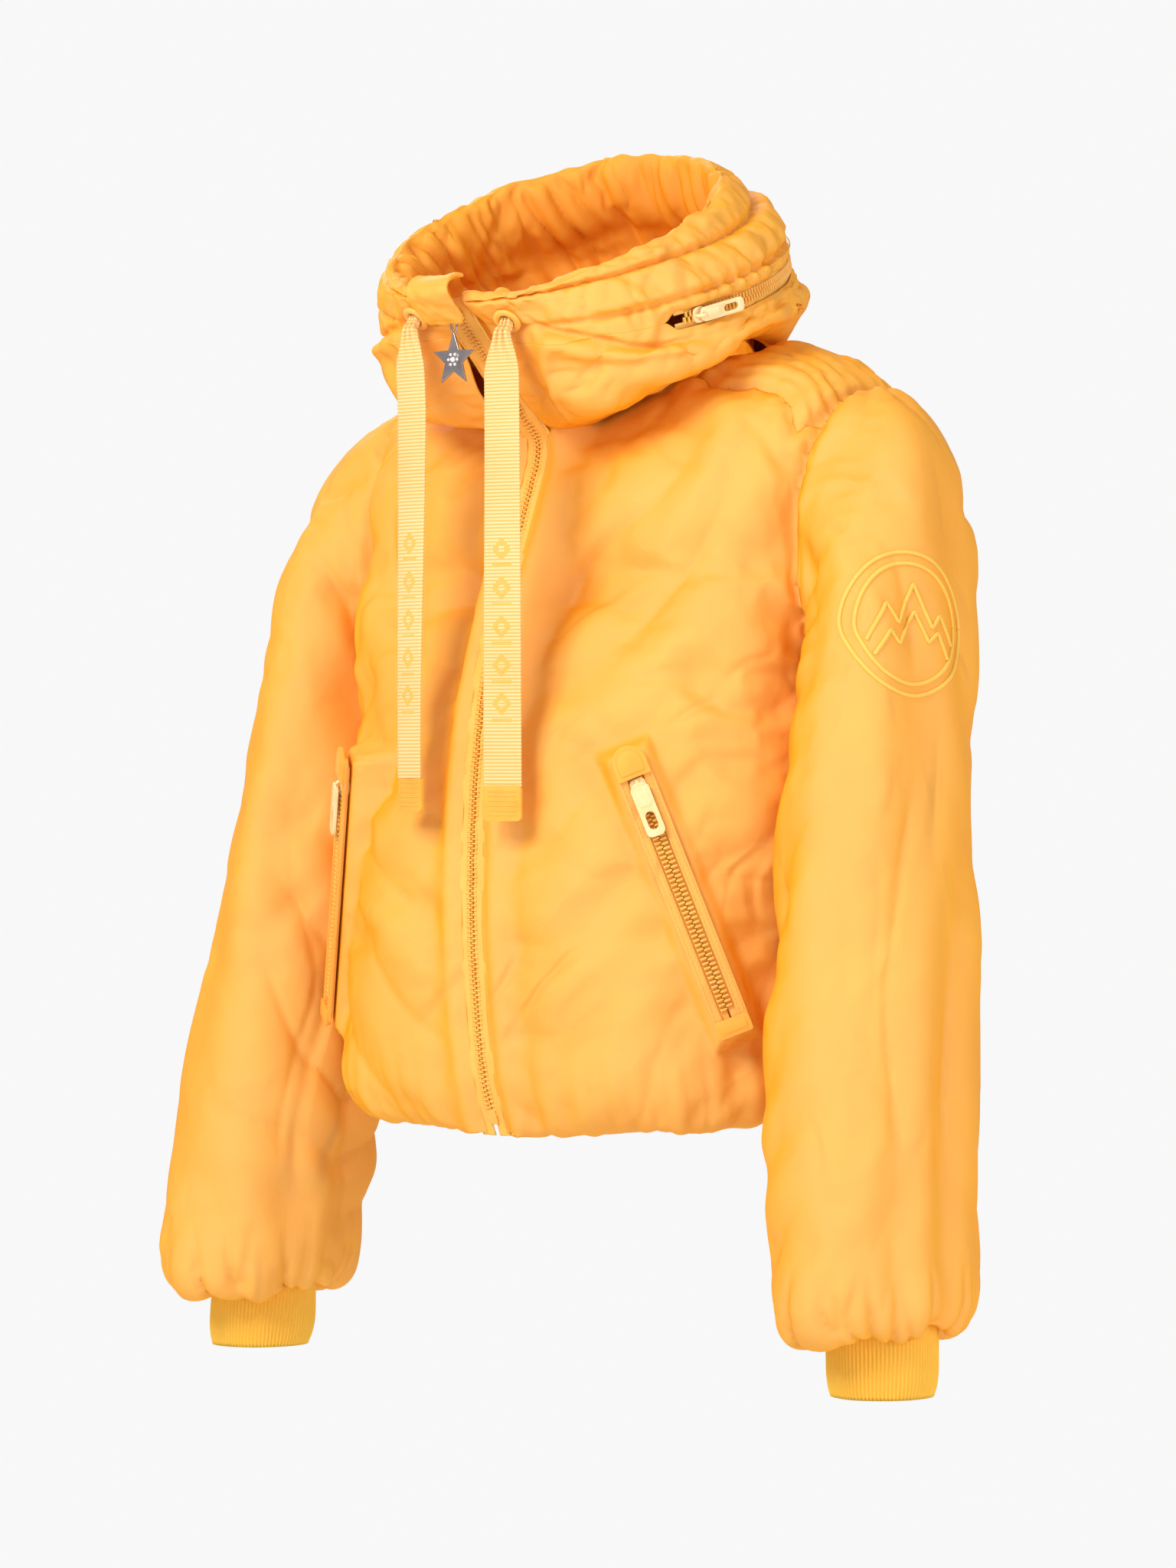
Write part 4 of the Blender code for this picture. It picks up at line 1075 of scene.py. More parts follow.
def crease_collar(obj):
    points, out = coords(obj), normals(obj)
    turn, step = field(obj, "turn"), field(obj, "step")
    seams = np.array([(rim_seam(t), channel_seam(t)) for t in turn])
    rim, channel = step - seams[:, 0], step - seams[:, 1]
    outer = step < 6.5
    back = ease(20, 70, np.abs(turn))

    move = np.zeros(len(points))
    fine, coarse = ripple(turn, step, 2.6, 1.0, 1.2), ripple(turn, step, 7.0, 2.0, 3.0)
    inner = ripple(turn, step, 9.0, 3.0, 4.0)
    # the gathered channel: a stitched groove with fine gathers that fade away from it
    move += np.where(outer, -0.0036 * near(channel, 0.085) * (0.45 + 0.55 * back), 0)
    move += np.where(outer, fine * 0.0034 * near(channel, 0.35) * (0.35 + 0.65 * back), 0)
    band = ease(0.0, 0.3, channel) * (1 - ease(-0.3, 0.0, rim))
    move += np.where(outer, (0.0028 + coarse * 0.0040) * band * (0.3 + 0.7 * back), 0)
    # the seam under the rim, and the soft roll above it
    move += np.where(outer, -0.0046 * near(rim, 0.085) + fine * 0.0010 * near(rim, 0.3), 0)
    move += coarse * 0.0013 * near(step - 6.5, 1.0)
    # folds down the inside
    depth = ease(6.9, 7.6, step)
    move += (folds(inner, 2.0) - 0.3) * 0.009 * depth * (1 - ease(9.2, 10, step))
    move += fine * 0.0015 * near(step - 7.4, 0.25)
    # the lower wall bulges, with a pleat that runs down from the channel
    bulge = near(step - 1.9, 1.2) * ease(14, 40, np.abs(turn)) * outer
    move += bulge * (0.0040 + 0.0055 * ripple(turn, step, 26.0, 5.0, 9.0) + 0.0012 * coarse)
    pleat_step = 3.75 - 0.9 * ease(22, 62, np.abs(turn))
    pleat = (step - pleat_step) * ease(20, 30, np.abs(turn)) * (1 - ease(60, 76, np.abs(turn)))
    on = (ease(20, 28, np.abs(turn)) * (1 - ease(58, 72, np.abs(turn)))) * outer
    move += on * (0.0060 * near(pleat + 0.22, 0.26) - 0.0050 * near(pleat - 0.10, 0.10))
    # the edges at the front opening and the zip's slot
    move *= ease(0.0, 3.0, np.abs(turn) - COLLAR_START_DEG)
    slot = ease(COLLAR_ZIP_FROM_DEG - 6, COLLAR_ZIP_FROM_DEG, np.abs(turn)) * outer
    move += slot * (0.0022 * near(np.abs(step - 3.5) - 0.42, 0.18) - 0.0020 * near(step - 3.5, 0.22))
    set_coords(obj, points + out * move[:, None])


def build_collar():
    sheet = collar_sheet()
    inflate(sheet, collar_pins(sheet), 2.4, 0.05, 14, 0.005)
    subdivide(sheet)
    crease_collar(sheet)
    turn, step = field(sheet, "turn"), field(sheet, "step")
    gap = 0.22 * ease(COLLAR_ZIP_FROM_DEG - 3, COLLAR_ZIP_FROM_DEG + 1, np.abs(turn))
    keep_field(sheet, "lower", 3.5 - gap - step)
    keep_field(sheet, "upper", np.minimum(step - 3.5 - gap, 6.62 - step))
    keep_field(sheet, "inner", step - 6.62)
    finished = {
        "lower": ("collar_lower_wall", NYLON, ("collar_lower", "packed_hood")),
        "upper": ("collar_upper_wall", NYLON, ("collar_upper",)),
        "inner": ("collar_inner_wall", LINING, ("collar_lining",)),
    }
    for key, (name, material, nodes) in finished.items():
        piece = copy_of(sheet, name)
        cut_away(piece, key)
        thicken(piece, 0.0012)
        place(piece, "jacket", material, "lining" if key == "inner" else "body_shell", *nodes)
    bpy.data.objects.remove(sheet)


# ---------------------------------------------------------------- small hard parts


def slab(name, outline, thickness, matrix, hole=None, bevel=0.0004, z=0.0, segments=2):
    """A flat part from an outline in the matrix's XY plane, its middle at height z, with rounded edges."""
    bm = bmesh.new()
    for loop in (outline, hole) if hole else (outline,):
        verts = [bm.verts.new((px, py, z - thickness / 2)) for px, py in loop]
        for i, vert in enumerate(verts):
            bm.edges.new((verts[i - 1], vert))
    bmesh.ops.triangle_fill(bm, use_beauty=True, edges=bm.edges[:])
    lifted = bmesh.ops.extrude_face_region(bm, geom=bm.faces[:])["geom"]
    raised = [item for item in lifted if isinstance(item, bmesh.types.BMVert)]
    bmesh.ops.translate(bm, vec=(0, 0, thickness), verts=raised)
    bmesh.ops.recalc_face_normals(bm, faces=bm.faces[:])
    made = object_from(bm, name)
    if bevel:
        edge = made.modifiers.new("edges", "BEVEL")
        edge.width = bevel
        edge.segments = segments
        edge.limit_method = "ANGLE"
        edge.angle_limit = math.radians(40)
        apply_modifiers(made)
    made.data.shade_smooth()
    made.matrix_world = matrix
    return made


def rounded(width, length, radius, steps=5, centre=(0.0, 0.0)):
    points = []
    for cx, cy, start in ((1, 1, 0), (-1, 1, 90), (-1, -1, 180), (1, -1, 270)):
        for i in range(steps + 1):
            a = math.radians(start + 90 * i / steps)
            x = centre[0] + cx * (width / 2 - radius) + radius * math.cos(a)
            y = centre[1] + cy * (length / 2 - radius) + radius * math.sin(a)
            points.append((x, y))
    return points


def joined(name, parts):
    """One object from several, each baked in its place."""
    bm = bmesh.new()
    for part in parts:
        part.data.transform(part.matrix_world)
        bm.from_mesh(part.data)
        bpy.data.objects.remove(part)
    made = object_from(bm, name)
    made.data.shade_smooth()
    return made


def turned(name, profile, matrix, steps=48):
    """A ring turned about the matrix's Z axis from a closed profile of (radius, height)."""
    rings = []
    for i in range(steps):
        a = 2 * math.pi * i / steps
        rings.append([Vector((r * math.cos(a), r * math.sin(a), h)) for r, h in profile])
    rings.append(rings[0])
    verts, faces = lofted(rings, caps=False)
    made = make_object(name, verts, faces)
    bm = bmesh.new()
    bm.from_mesh(made.data)
    bmesh.ops.remove_doubles(bm, verts=bm.verts, dist=1e-6)
    bmesh.ops.recalc_face_normals(bm, faces=bm.faces)
    bm.to_mesh(made.data)
    bm.free()
    made.matrix_world = matrix
    return made


def tube(name, path, radius, sides, flat, ups):
    """A cord along a list of points, closed at both ends and flattened towards ups."""
    points = [Vector(p) for p in path]
    rings = []
    for i, point in enumerate(points):
        ahead = (points[min(i + 1, len(points) - 1)] - points[max(i - 1, 0)]).normalized()
        across = ahead.cross(ups[i]).normalized()
        normal = across.cross(ahead)
        ring = []
        for k in range(sides):
            a = 2 * math.pi * k / sides
            ring.append(point + across * radius * math.cos(a) + normal * radius * flat * math.sin(a))
        rings.append(ring)
    made = make_object(name, *lofted(rings))
    outward(made)
    return made


def stitches(name, path, ups, pitch=0.0032, radius=0.00028):
    """A row of separate machine stitches along a path, each a short thread that dips in at both ends."""
    points = [Vector(p) for p in path]
    total = [0.0]
    for a, b in zip(points, points[1:]):
        total.append(total[-1] + (b - a).length)

    def at(s):
        i = max(j for j in range(len(points) - 1) if total[j] <= s + 1e-9)
        t = (s - total[i]) / max(total[i + 1] - total[i], 1e-9)
        return points[i].lerp(points[i + 1], t), ups[i].lerp(ups[i + 1], t).normalized()

    verts, faces = [], []
    for number in range(int(total[-1] / pitch)):
        start = number * pitch
        rings = []
        for k in range(5):
            point, up = at(min(start + pitch * (0.06 + 0.80 * k / 4), total[-1]))
            nxt, _ = at(min(start + pitch * (0.06 + 0.80 * k / 4) + 1e-4, total[-1]))
            ahead = (nxt - point).normalized() if (nxt - point).length > 1e-7 else Vector((0, 0, 1))
            across = ahead.cross(up).normalized()
            lift = radius * (1.6 * math.sin(math.pi * k / 4) - 0.7)
            middle = point + up * lift
            turns = [2 * math.pi * j / 6 for j in range(6)]
            rings.append([middle + (up * math.sin(a) + across * math.cos(a)) * radius for a in turns])
        more, sides = lofted(rings)
        base = len(verts)
        verts += more
        faces += [tuple(base + index for index in face) for face in sides]
    made = make_object(name, verts, faces)
    outward(made)
    return made


def smooth_path(points, count):
    """Evenly spaced points on a smooth curve through the given ones."""
    rows = [(i, *p) for i, p in enumerate(points)]
    dense = [Vector(between(rows, (len(points) - 1) * i / 600)) for i in range(601)]
    total = [0.0]
    for a, b in zip(dense, dense[1:]):
        total.append(total[-1] + (b - a).length)
    found = []
    for i in range(count + 1):
        want = total[-1] * i / count
        k = int(np.searchsorted(total, want).clip(1, 600))
        t = (want - total[k - 1]) / max(total[k] - total[k - 1], 1e-9)
        found.append(dense[k - 1].lerp(dense[k], t))
    return found, total[-1]


def tooth_mesh(bm, matrix, side, size):
    """One moulded tooth: a rounded head that reaches over the middle, a neck and a foot on the tape."""
    width, length, height = size
    outline = [(-0.30, -0.5), (0.05, -0.36), (0.55, -0.42), (1.0, -0.30), (1.12, 0.0)]
    outline += [(1.0, 0.30), (0.55, 0.42), (0.05, 0.36), (-0.30, 0.5)]
    levels = ((1.0, -0.5), (1.0, 0.18), (0.78, 0.42), (0.40, 0.5))
    rings = []
    for share, level in levels:
        ring = []
        for px, py in outline:
            x = 0.4 + (px - 0.4) * (0.75 + 0.25 * share if share > 0.5 else 0.55)
            at = Vector((-side * x * width, py * share * length, level * height))
            ring.append(bm.verts.new(matrix @ at))
        rings.append(ring)
    for low, high in zip(rings, rings[1:]):
        for k in range(len(outline)):
            j = (k + 1) % len(outline)
            bm.faces.new((low[k], low[j], high[j], high[k]))
    bm.faces.new(rings[-1])
    bm.faces.new(rings[0][::-1])


def teeth_row(name, frames, side, offset, size):
    """A row of teeth, one at every frame; each frame's X points across the zip and Y along it."""
    bm = bmesh.new()
    for matrix in frames:
        tooth_mesh(bm, matrix @ Matrix.Translation((side * offset, 0, 0)), side, size)
    bmesh.ops.recalc_face_normals(bm, faces=bm.faces)
    made = object_from(bm, name)
    made.data.shade_smooth()
    return made


def strip(name, path, across, ups, inner, outer, thickness, lift=0.0, wave=0.0):
    """A woven tape beside a path: a gridded band with a bead along its inner edge."""
    columns = 6

    def surface(u, v):
        at = v * (len(path) - 1)
        i = min(int(at), len(path) - 2)
        point = path[i].lerp(path[i + 1], at - i)
        side = across[i].lerp(across[i + 1], at - i)
        up = ups[i]
        bead = 0.0005 * math.exp(-((u / 0.12) ** 2))
        ripple_here = wave * noise.noise(Vector((v * 60, u * 2, 3.0)))
        return point + side * (inner + (outer - inner) * u) + up * (lift + bead + ripple_here)

    made = make_object(name, *grid(surface, columns, len(path) * 2))
    thicken(made, thickness, 0.0)
    return made


# ---------------------------------------------------------------- front zip

FRONT_LINE = ZIP_LINE[:-1] + ((-0.1340, 0.4742), (-0.1600, 0.4994), ZIP_LINE[-1])


def front_frames(count):
    path, length = smooth_path([(0.0, y, z) for y, z in FRONT_LINE], count)
    frames = []
    for i, point in enumerate(path):
        ahead = (path[min(i + 1, count)] - path[max(i - 1, 0)]).normalized()
        frames.append(frame_at(point, ahead, Vector((1, 0, 0)).cross(ahead)))
    return path, frames, length


def slider_body(name, matrix, length=0.0105, width=0.0104, arch=0.0066):
    """A zip slider: two shaped plates joined by a divider, with an arch that carries the puller."""
    outline = []
    for t in range(24):
        a = 2 * math.pi * t / 24
        x = math.copysign(abs(math.cos(a)) ** 0.7, math.cos(a)) * width / 2
        y = math.copysign(abs(math.sin(a)) ** 0.55, math.sin(a)) * length / 2
        outline.append((x * (1.0 if y > 0 else 1.0 - 0.28 * (-2 * y / length)), y))
    parts = [
        slab("plate_front", outline, 0.0013, matrix, z=0.0022, bevel=0.0004, segments=3),
        slab("plate_back", outline, 0.0010, matrix, z=-0.0020, bevel=0.0003),
        slab("divider", rounded(0.0012, 0.0036, 0.0005, centre=(0, 0.0030)), 0.0040, matrix, bevel=0),
    ]
    top = matrix @ Matrix.Translation((0, 0, 0.0024))
    path, ups = [], []
    for t in range(15):
        a = math.pi * t / 14
        path.append(top @ Vector((0, -0.0034 * math.cos(a) + 0.0004, arch * 0.62 * math.sin(a) ** 0.7)))
        ups.append((top.to_3x3() @ Vector((1, 0, 0))).normalized())
    parts.append(tube("arch", path, 0.00085, 8, 1.5, ups))
    return joined(name, parts)


def slotted_puller(name, matrix, width, length, thickness, slot):
    """A flat puller with a round-ended slot near its foot and a window for the slider's arch at its head."""
    at_foot = (0, 0.0006 - length + 0.0045 + slot / 2)
    body = slab(
        "puller_body",
        rounded(width, length, width * 0.3, 6, (0, 0.0006 - length / 2)),
        thickness,
        matrix,
        hole=rounded(width * 0.50, slot, width * 0.24, 5, at_foot),
        bevel=thickness * 0.3,
        segments=3,
    )
    head = []
    for t in range(17):
        a = math.pi * t / 16
        x, y = width * 0.30 * math.cos(a), 0.0004 + 0.0016 * math.sin(a) - 0.001
        head.append(matrix @ Vector((x, y, 0.0006)))
    ups = [(matrix.to_3x3() @ Vector((0, 0, 1))).normalized()] * len(head)
    panel = rounded(width * 0.62, length * 0.30, width * 0.14, 4, (0, -length * 0.26))
    rim = slab("raised", panel, 0.0005, matrix, z=thickness / 2 + 0.0001, bevel=0.0002)
    return joined(name, [body, rim, tube("eye", head, 0.0009, 8, 1.0, ups)])


def build_front_zip():
    path, frames, length = front_frames(260)
    ups = [(m.to_3x3() @ Vector((0, 0, 1))).normalized() for m in frames]
    for side, label in ((1, "left"), (-1, "right")):
        across = [Vector((side, 0, 0))] * len(path)
        tape = strip(f"front_tape_{label}", path, across, ups, 0.0019, 0.0128, 0.0009, 0.0002, 0.0008)
        place(tape, "jacket", TAPE, "zip_tape", f"zip_tape_{label}")
        count = int((length - 0.014) / CHAIN_PITCH)
        _, fine, _ = front_frames(int(length / CHAIN_PITCH) * 2)
        start = 10
        chosen = [fine[start + 2 * k + (0 if side > 0 else 1)] for k in range(count - 3)]
        chosen = [m for m in chosen if m.translation.z < 0.5165 or m.translation.y > -0.14]
        row = teeth_row(f"front_teeth_{label}", chosen, side, 0.0031, (0.0036, 0.0019, 0.0036))
        place(row, "jacket", TEETH, "zip_teeth", f"zip_teeth_{label}")
        edge = [p + Vector((side * 0.0108, 0, 0)) + u * 0.0008 for p, u in zip(path, ups)]
        row = stitches(f"front_topstitch_{label}", edge[4:-4], ups[4:-4], 0.0034)
        place(row, "jacket", THREAD, "zip_tape")
    low = frames[6] @ Matrix.Translation((0, 0, 0.0004))
    box_part = slab("zip_box", rounded(0.0076, 0.0100, 0.0014), 0.0034, low, bevel=0.0006, segments=3)
    place(box_part, "jacket", TEETH, "zip_teeth", "zip_bottom_box")
    pin = joint_point("star_swing")
    up = -joint_axis("front_zip_slide")
    out = Vector((1, 0, 0)).cross(up)
    top = frame_at(pin - up * 0.0006 - out * 0.0049, up, out)
    place(slider_body("front_slider_body", top, arch=0.0080), "front_slider", PULL, "zip_pull", "zip_slider")
    build_star(pin)
    build_flap(up, out)


def build_star(pin):
    hanging = frame_at(pin, Vector((0, 0, 1)), Vector((0, -1, 0)))
    middle = hanging @ Matrix.Translation((0, -0.0085 - STAR_RADIUS, 0))
    outline = []
    for i in range(10):
        radius = STAR_RADIUS if i % 2 == 0 else 0.42 * STAR_RADIUS
        a = math.radians(90 + 36 * i)
        outline.append((radius * math.cos(a), radius * math.sin(a)))
    body = slab("star_body", outline, 0.0016, middle, bevel=0.0004, segments=3)
    seat = slab("seat", circle(0.0050, 32), 0.0006, middle, z=0.0009, bevel=0.0002)
    link = []
    for t in range(25):
        a = 2 * math.pi * t / 24
        link.append(hanging @ Vector((0.0024 * math.cos(a), -0.0046 + 0.0054 * math.sin(a), 0)))
    ups = [(hanging.to_3x3() @ Vector((0, 0, 1))).normalized()] * len(link)
    star = joined("star_charm", [body, seat, tube("link", link, 0.0007, 8, 1.0, ups)])
    place(star, "front_puller", STAR, "star", "star_puller")
    spots = [(0.0, 0.0, 0.0019)] + [(x, y, 0.0011) for x, y in circle(0.0036, 6)]
    bm = bmesh.new()
    for x, y, radius in spots:
        for level, share in ((0.0, 1.0), (0.5, 0.62)):
            at = middle @ Matrix.Translation((x, y, 0.0013 + radius * (0.30 + level * 0.5)))
            depth = radius * (0.6 if level == 0 else 0.4)
            foot, head = radius * share, radius * share * 0.62
            bmesh.ops.create_cone(
                bm, cap_ends=True, segments=8, radius1=foot, radius2=head, depth=depth, matrix=at
            )
    stones = object_from(bm, "cut_stones")
    place(stones, "front_puller", STONE, "stone", "puller_stones")


def build_flap(up, out):
    """The soft garage flap: it wraps over the rim at the front and hangs over the top of the zip."""
    hinge = joint_point("zip_flap_lift")
    at = frame_at(hinge, up, out)
    profile = [(0.000, -0.0150), (0.0040, -0.0120), (0.0068, -0.0060), (0.0062, 0.0000), (0.0020, 0.0022)]
    profile += [(-0.0060, 0.0020), (-0.0140, 0.0018), (-0.0210, 0.0014)]
    line, _ = smooth_path([(0.0, y, z) for y, z in profile], 40)

    def surface(u, v):
        point = line[round(v * 40)]
        tip = ease(0.80, 1.0, v)
        half = 0.0165 * math.sqrt(max(0.0, 1 - (0.55 * tip) ** 2))
        x = (2 * u - 1) * half
        puff = 0.0022 * math.cos(math.pi * (u - 0.5)) * (1 - 0.6 * tip)
        crease = 0.0009 * noise.noise(Vector((x * 160, v * 9, 1.5)))
        return at @ Vector((x, point.y, point.z + puff + crease))

    made = make_object("garage_flap", *grid(surface, 36, 40))
    thicken(made, 0.0026)
    subdivide(made)
    edge = []
    for t in range(61):
        u = 0.10 + 0.80 * min(max((t - 15) / 30, 0), 1)
        v = 0.35 + 0.58 * (min(t, 15) / 15 if t < 15 else 1 - max(t - 45, 0) / 15)
        edge.append(surface(u, round(v * 40) / 40) + out * 0.0006)
    row = stitches("flap_topstitch", edge, [out] * len(edge), 0.0030)
    fixed = hinge - out * 0.008 + up * 0.006 + TO_FRAME
    free = hinge + out * 0.002 - up * 0.004 + TO_FRAME
    place(row, None, THREAD, "body_shell")
    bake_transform(row, "jacket", "zip_flap", fixed, free)
    place(made, None, NYLON, "body_shell")
    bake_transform(made, "jacket", "zip_flap", fixed, free)
    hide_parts("zip_garage_flap")


# ---------------------------------------------------------------- collar zip


def collar_frame(angle, lift=0.0):
    """The middle of the collar zip at an angle: Y runs along it towards the back, Z points out."""
    axis, centre = joint_axis("collar_zip_run"), joint_point("collar_zip_run")
    pin = joint_point("collar_pull") - centre
    radius = (pin - axis * pin.dot(axis)).length - 0.0057
    side = Vector((1, 0, 0))
    side = (side - axis * side.dot(axis)).normalized()
    front = axis.cross(side)
    front = front if front.y < 0 else -front
    s, c = math.sin(math.radians(angle)), math.cos(math.radians(angle))
    outward_here = side * s + front * c
    along = side * c - front * s
    return frame_at(centre + outward_here * (radius + lift), along, outward_here)


def build_collar_zip():
    start = COLLAR_ZIP_FROM_DEG + 2
    count = int(math.radians(360 - 2 * start) * 0.1335 / COLLAR_PITCH)
    for side, label in ((1, "upper"), (-1, "lower")):
        shift = 0.5 if side > 0 else 0.0
        frames = [collar_frame(start + (360 - 2 * start) * (k + shift) / count) for k in range(count)]
        row = teeth_row(f"collar_zip_teeth_{label}", frames, -side, 0.0032, (0.0032, 0.0021, 0.0028))
        place(row, "jacket", TEETH, "zip_teeth", f"collar_teeth_{label}")
    turns = [start - 3 + (366 - 2 * start) * k / 160 for k in range(161)]
    path = [collar_frame(turn, -0.0008).translation for turn in turns]
    across = [joint_axis("collar_zip_run")] * len(path)
    ups = [(collar_frame(turn).to_3x3() @ Vector((0, 0, 1))).normalized() for turn in turns]
    for name, sign in (("collar_tape_upper", 1), ("collar_tape_lower", -1)):
        tape = strip(name, path, [a * sign for a in across], ups, 0.0028, 0.0110, 0.0009)
        place(tape, "jacket", TAPE, "zip_tape")
    for sign, name in ((1, "collar_zip_stitch_upper"), (-1, "collar_zip_stitch_lower")):
        line = [p + a * sign * 0.0118 + u * 0.0030 for p, a, u in zip(path, across, ups)]
        place(stitches(name, line[6:-6], ups[6:-6], 0.0036), "jacket", THREAD, "zip_tape")
    pin = joint_point("collar_pull")
    y = joint_axis("collar_zip_run").cross(pin - joint_point("collar_zip_run")).normalized()
    x = -joint_axis("collar_pull")
    at = axes_at(pin, x, x.cross(y).cross(x).normalized())
    if (at.to_3x3() @ Vector((0, 0, 1))).dot(pin - joint_point("collar_zip_run")) < 0:
        at = axes_at(pin, x, -x.cross(y).cross(x).normalized())
    seat = at @ Matrix.Translation((0, -0.0006, -0.0057))
    body = slider_body("collar_slider_body_shell", seat, arch=0.0085)
    place(body, "collar_slider_body", PULL, "zip_pull", "collar_slider")
    pull = slotted_puller("collar_pull_tab", at, 0.0092, 0.032, 0.0019, 0.0105)
    place(pull, "collar_puller_body", PULL, "zip_pull", "collar_puller")


# ---------------------------------------------------------------- pockets


def evenly(outline, step):
    """Points along straight runs, about a step apart, with every corner kept."""
    found = []
    for a, b in zip(outline, outline[1:]):
        steps = max(1, int(math.dist(a, b) / step))
        shares = [t / steps for t in range(steps)]
        found += [(a[0] + (b[0] - a[0]) * share, a[1] + (b[1] - a[1]) * share) for share in shares]
    return found + [outline[-1]]


def tab_outline(radius):
    """The soft tab above a pocket's zip: round at the top, straight at its foot."""
    foot = GARAGE_Y - 0.0100 + (0.0108 - radius)
    arc = [(radius * math.cos(a), GARAGE_Y + radius * math.sin(a)) for a in np.linspace(0, math.pi, 17)]
    return arc + [(-radius, foot), (radius, foot)]


def build_pocket(label):
    frame = pocket_frame(label)
    up = (frame.to_3x3() @ Vector((0, 0, 1))).normalized()
    outer, inner = rounded(WELT_WIDTH, WELT_LENGTH, 0.0050, 6), rounded(0.0108, 0.1700, 0.0030, 5)
    welt = slab(f"pocket_frame_{label}", outer, 0.0022, frame, hole=inner, bevel=0.0009, segments=3)
    place(welt, "jacket", NYLON, "body_shell", f"pocket_welt_{label}")
    count = int(POCKET_CHAIN / POCKET_PITCH)
    for side, name in ((1, "outer"), (-1, "inner")):
        shift = 0.5 if side > 0 else 0.0
        levels = [POCKET_PITCH * (k + 0.4 + shift) - POCKET_CHAIN / 2 for k in range(count)]
        frames = [frame @ Matrix.Translation((0, level, -0.0004)) for level in levels]
        row = teeth_row(f"pocket_teeth_{label}_{name}", frames, side, 0.0033, (0.0033, 0.0022, 0.0030))
        place(row, "jacket", TEETH, "zip_teeth", *([f"pocket_teeth_{label}"] if side > 0 else []))
    tape = slab(f"pocket_tapes_{label}", rounded(0.0200, 0.1780, 0.0020), 0.0010, frame, z=-0.0018,
                hole=rounded(0.0012, 0.1660, 0.0003), bevel=0.0003)
    place(tape, "jacket", TAPE, "zip_tape", f"pocket_tape_{label}")
    edges = []
    for inset, name in ((0.0016, "outer"), (0.0048, "inner")):
        loop = rounded(WELT_WIDTH - 2 * inset, WELT_LENGTH - 2 * inset, 0.0030, 5)
        line = [frame @ Vector((x, y, 0.0012)) for x, y in evenly(loop + loop[:1], 0.004)[:-1]]
        edges.append(stitches(f"stitch_{name}", line, [up] * len(line), 0.0030, 0.00024))
    place(joined(f"pocket_topstitch_{label}", edges), "jacket", THREAD, "body_shell")
    garage = slab("garage", tab_outline(0.0108), 0.0026, frame, z=0.0022, bevel=0.0009, segments=3)
    dent = slab("dent", tab_outline(0.0078), 0.0009, frame, z=0.0037, bevel=0.0004)
    tab = joined(f"pocket_garage_tab_{label}", [garage, dent])
    place(tab, "jacket", TRIM, "soft_trim", f"pocket_garage_{label}")
    low = (0, -0.0885)
    stop = slab("stop", rounded(0.0225, 0.0115, 0.0016, 4, low), 0.0018, frame, z=0.0018, bevel=0.0005)
    line = slab("line", rounded(0.0170, 0.0060, 0.0010, 3, low), 0.0005, frame, z=0.0028, bevel=0.0002)
    tab = joined(f"pocket_stop_tab_{label}", [stop, line])
    place(tab, "jacket", TRIM, "soft_trim", f"pocket_end_stop_{label}")
    x, y = -joint_axis(f"pocket_pull_{label}"), -joint_axis(f"pocket_zip_{label}")
    bar = axes_at(joint_point(f"pocket_pull_{label}"), x, y)
    seat = bar @ Matrix.Translation((0, -0.0006, -0.0050))
    body = slider_body(f"pocket_slider_{label}_body", seat, arch=0.0062)
    place(body, f"pocket_slider_{label[0]}", PULL, "zip_pull", f"pocket_slider_{label}")
    seat = bar @ Matrix.Translation((0, 0, 0.0012))
    pull = slotted_puller(f"pocket_pull_tab_{label}", seat, 0.0122, 0.034, 0.0022, 0.0115)
    place(pull, f"pocket_puller_{label[0]}", PULL, "zip_pull", f"pocket_puller_{label}")


# ---------------------------------------------------------------- eyelets and ribbons


def eyelet_frame(side):
    angle = side * EYELET_ANGLE
    point = collar_point(angle, EYELET_STEP)
    across = collar_point(angle + 1, EYELET_STEP) - collar_point(angle - 1, EYELET_STEP)
    up = collar_point(angle, EYELET_STEP + 0.1) - collar_point(angle, EYELET_STEP - 0.1)
    return frame_at(point, up, across.cross(up))


def is_marked(across, drop):
    """The ribbon's woven pattern: a column of diamonds between two short bars."""
    if not 0.150 < drop < 0.272:
        return False
    beat = (drop - 0.150) % 0.0244
    middle = abs(across) / 0.0072 + abs(beat - 0.0092) / 0.0078
    if 0.42 < middle < 1.0:
        return True
    return 0.0186 < beat < 0.0206 and abs(across) < 0.0066


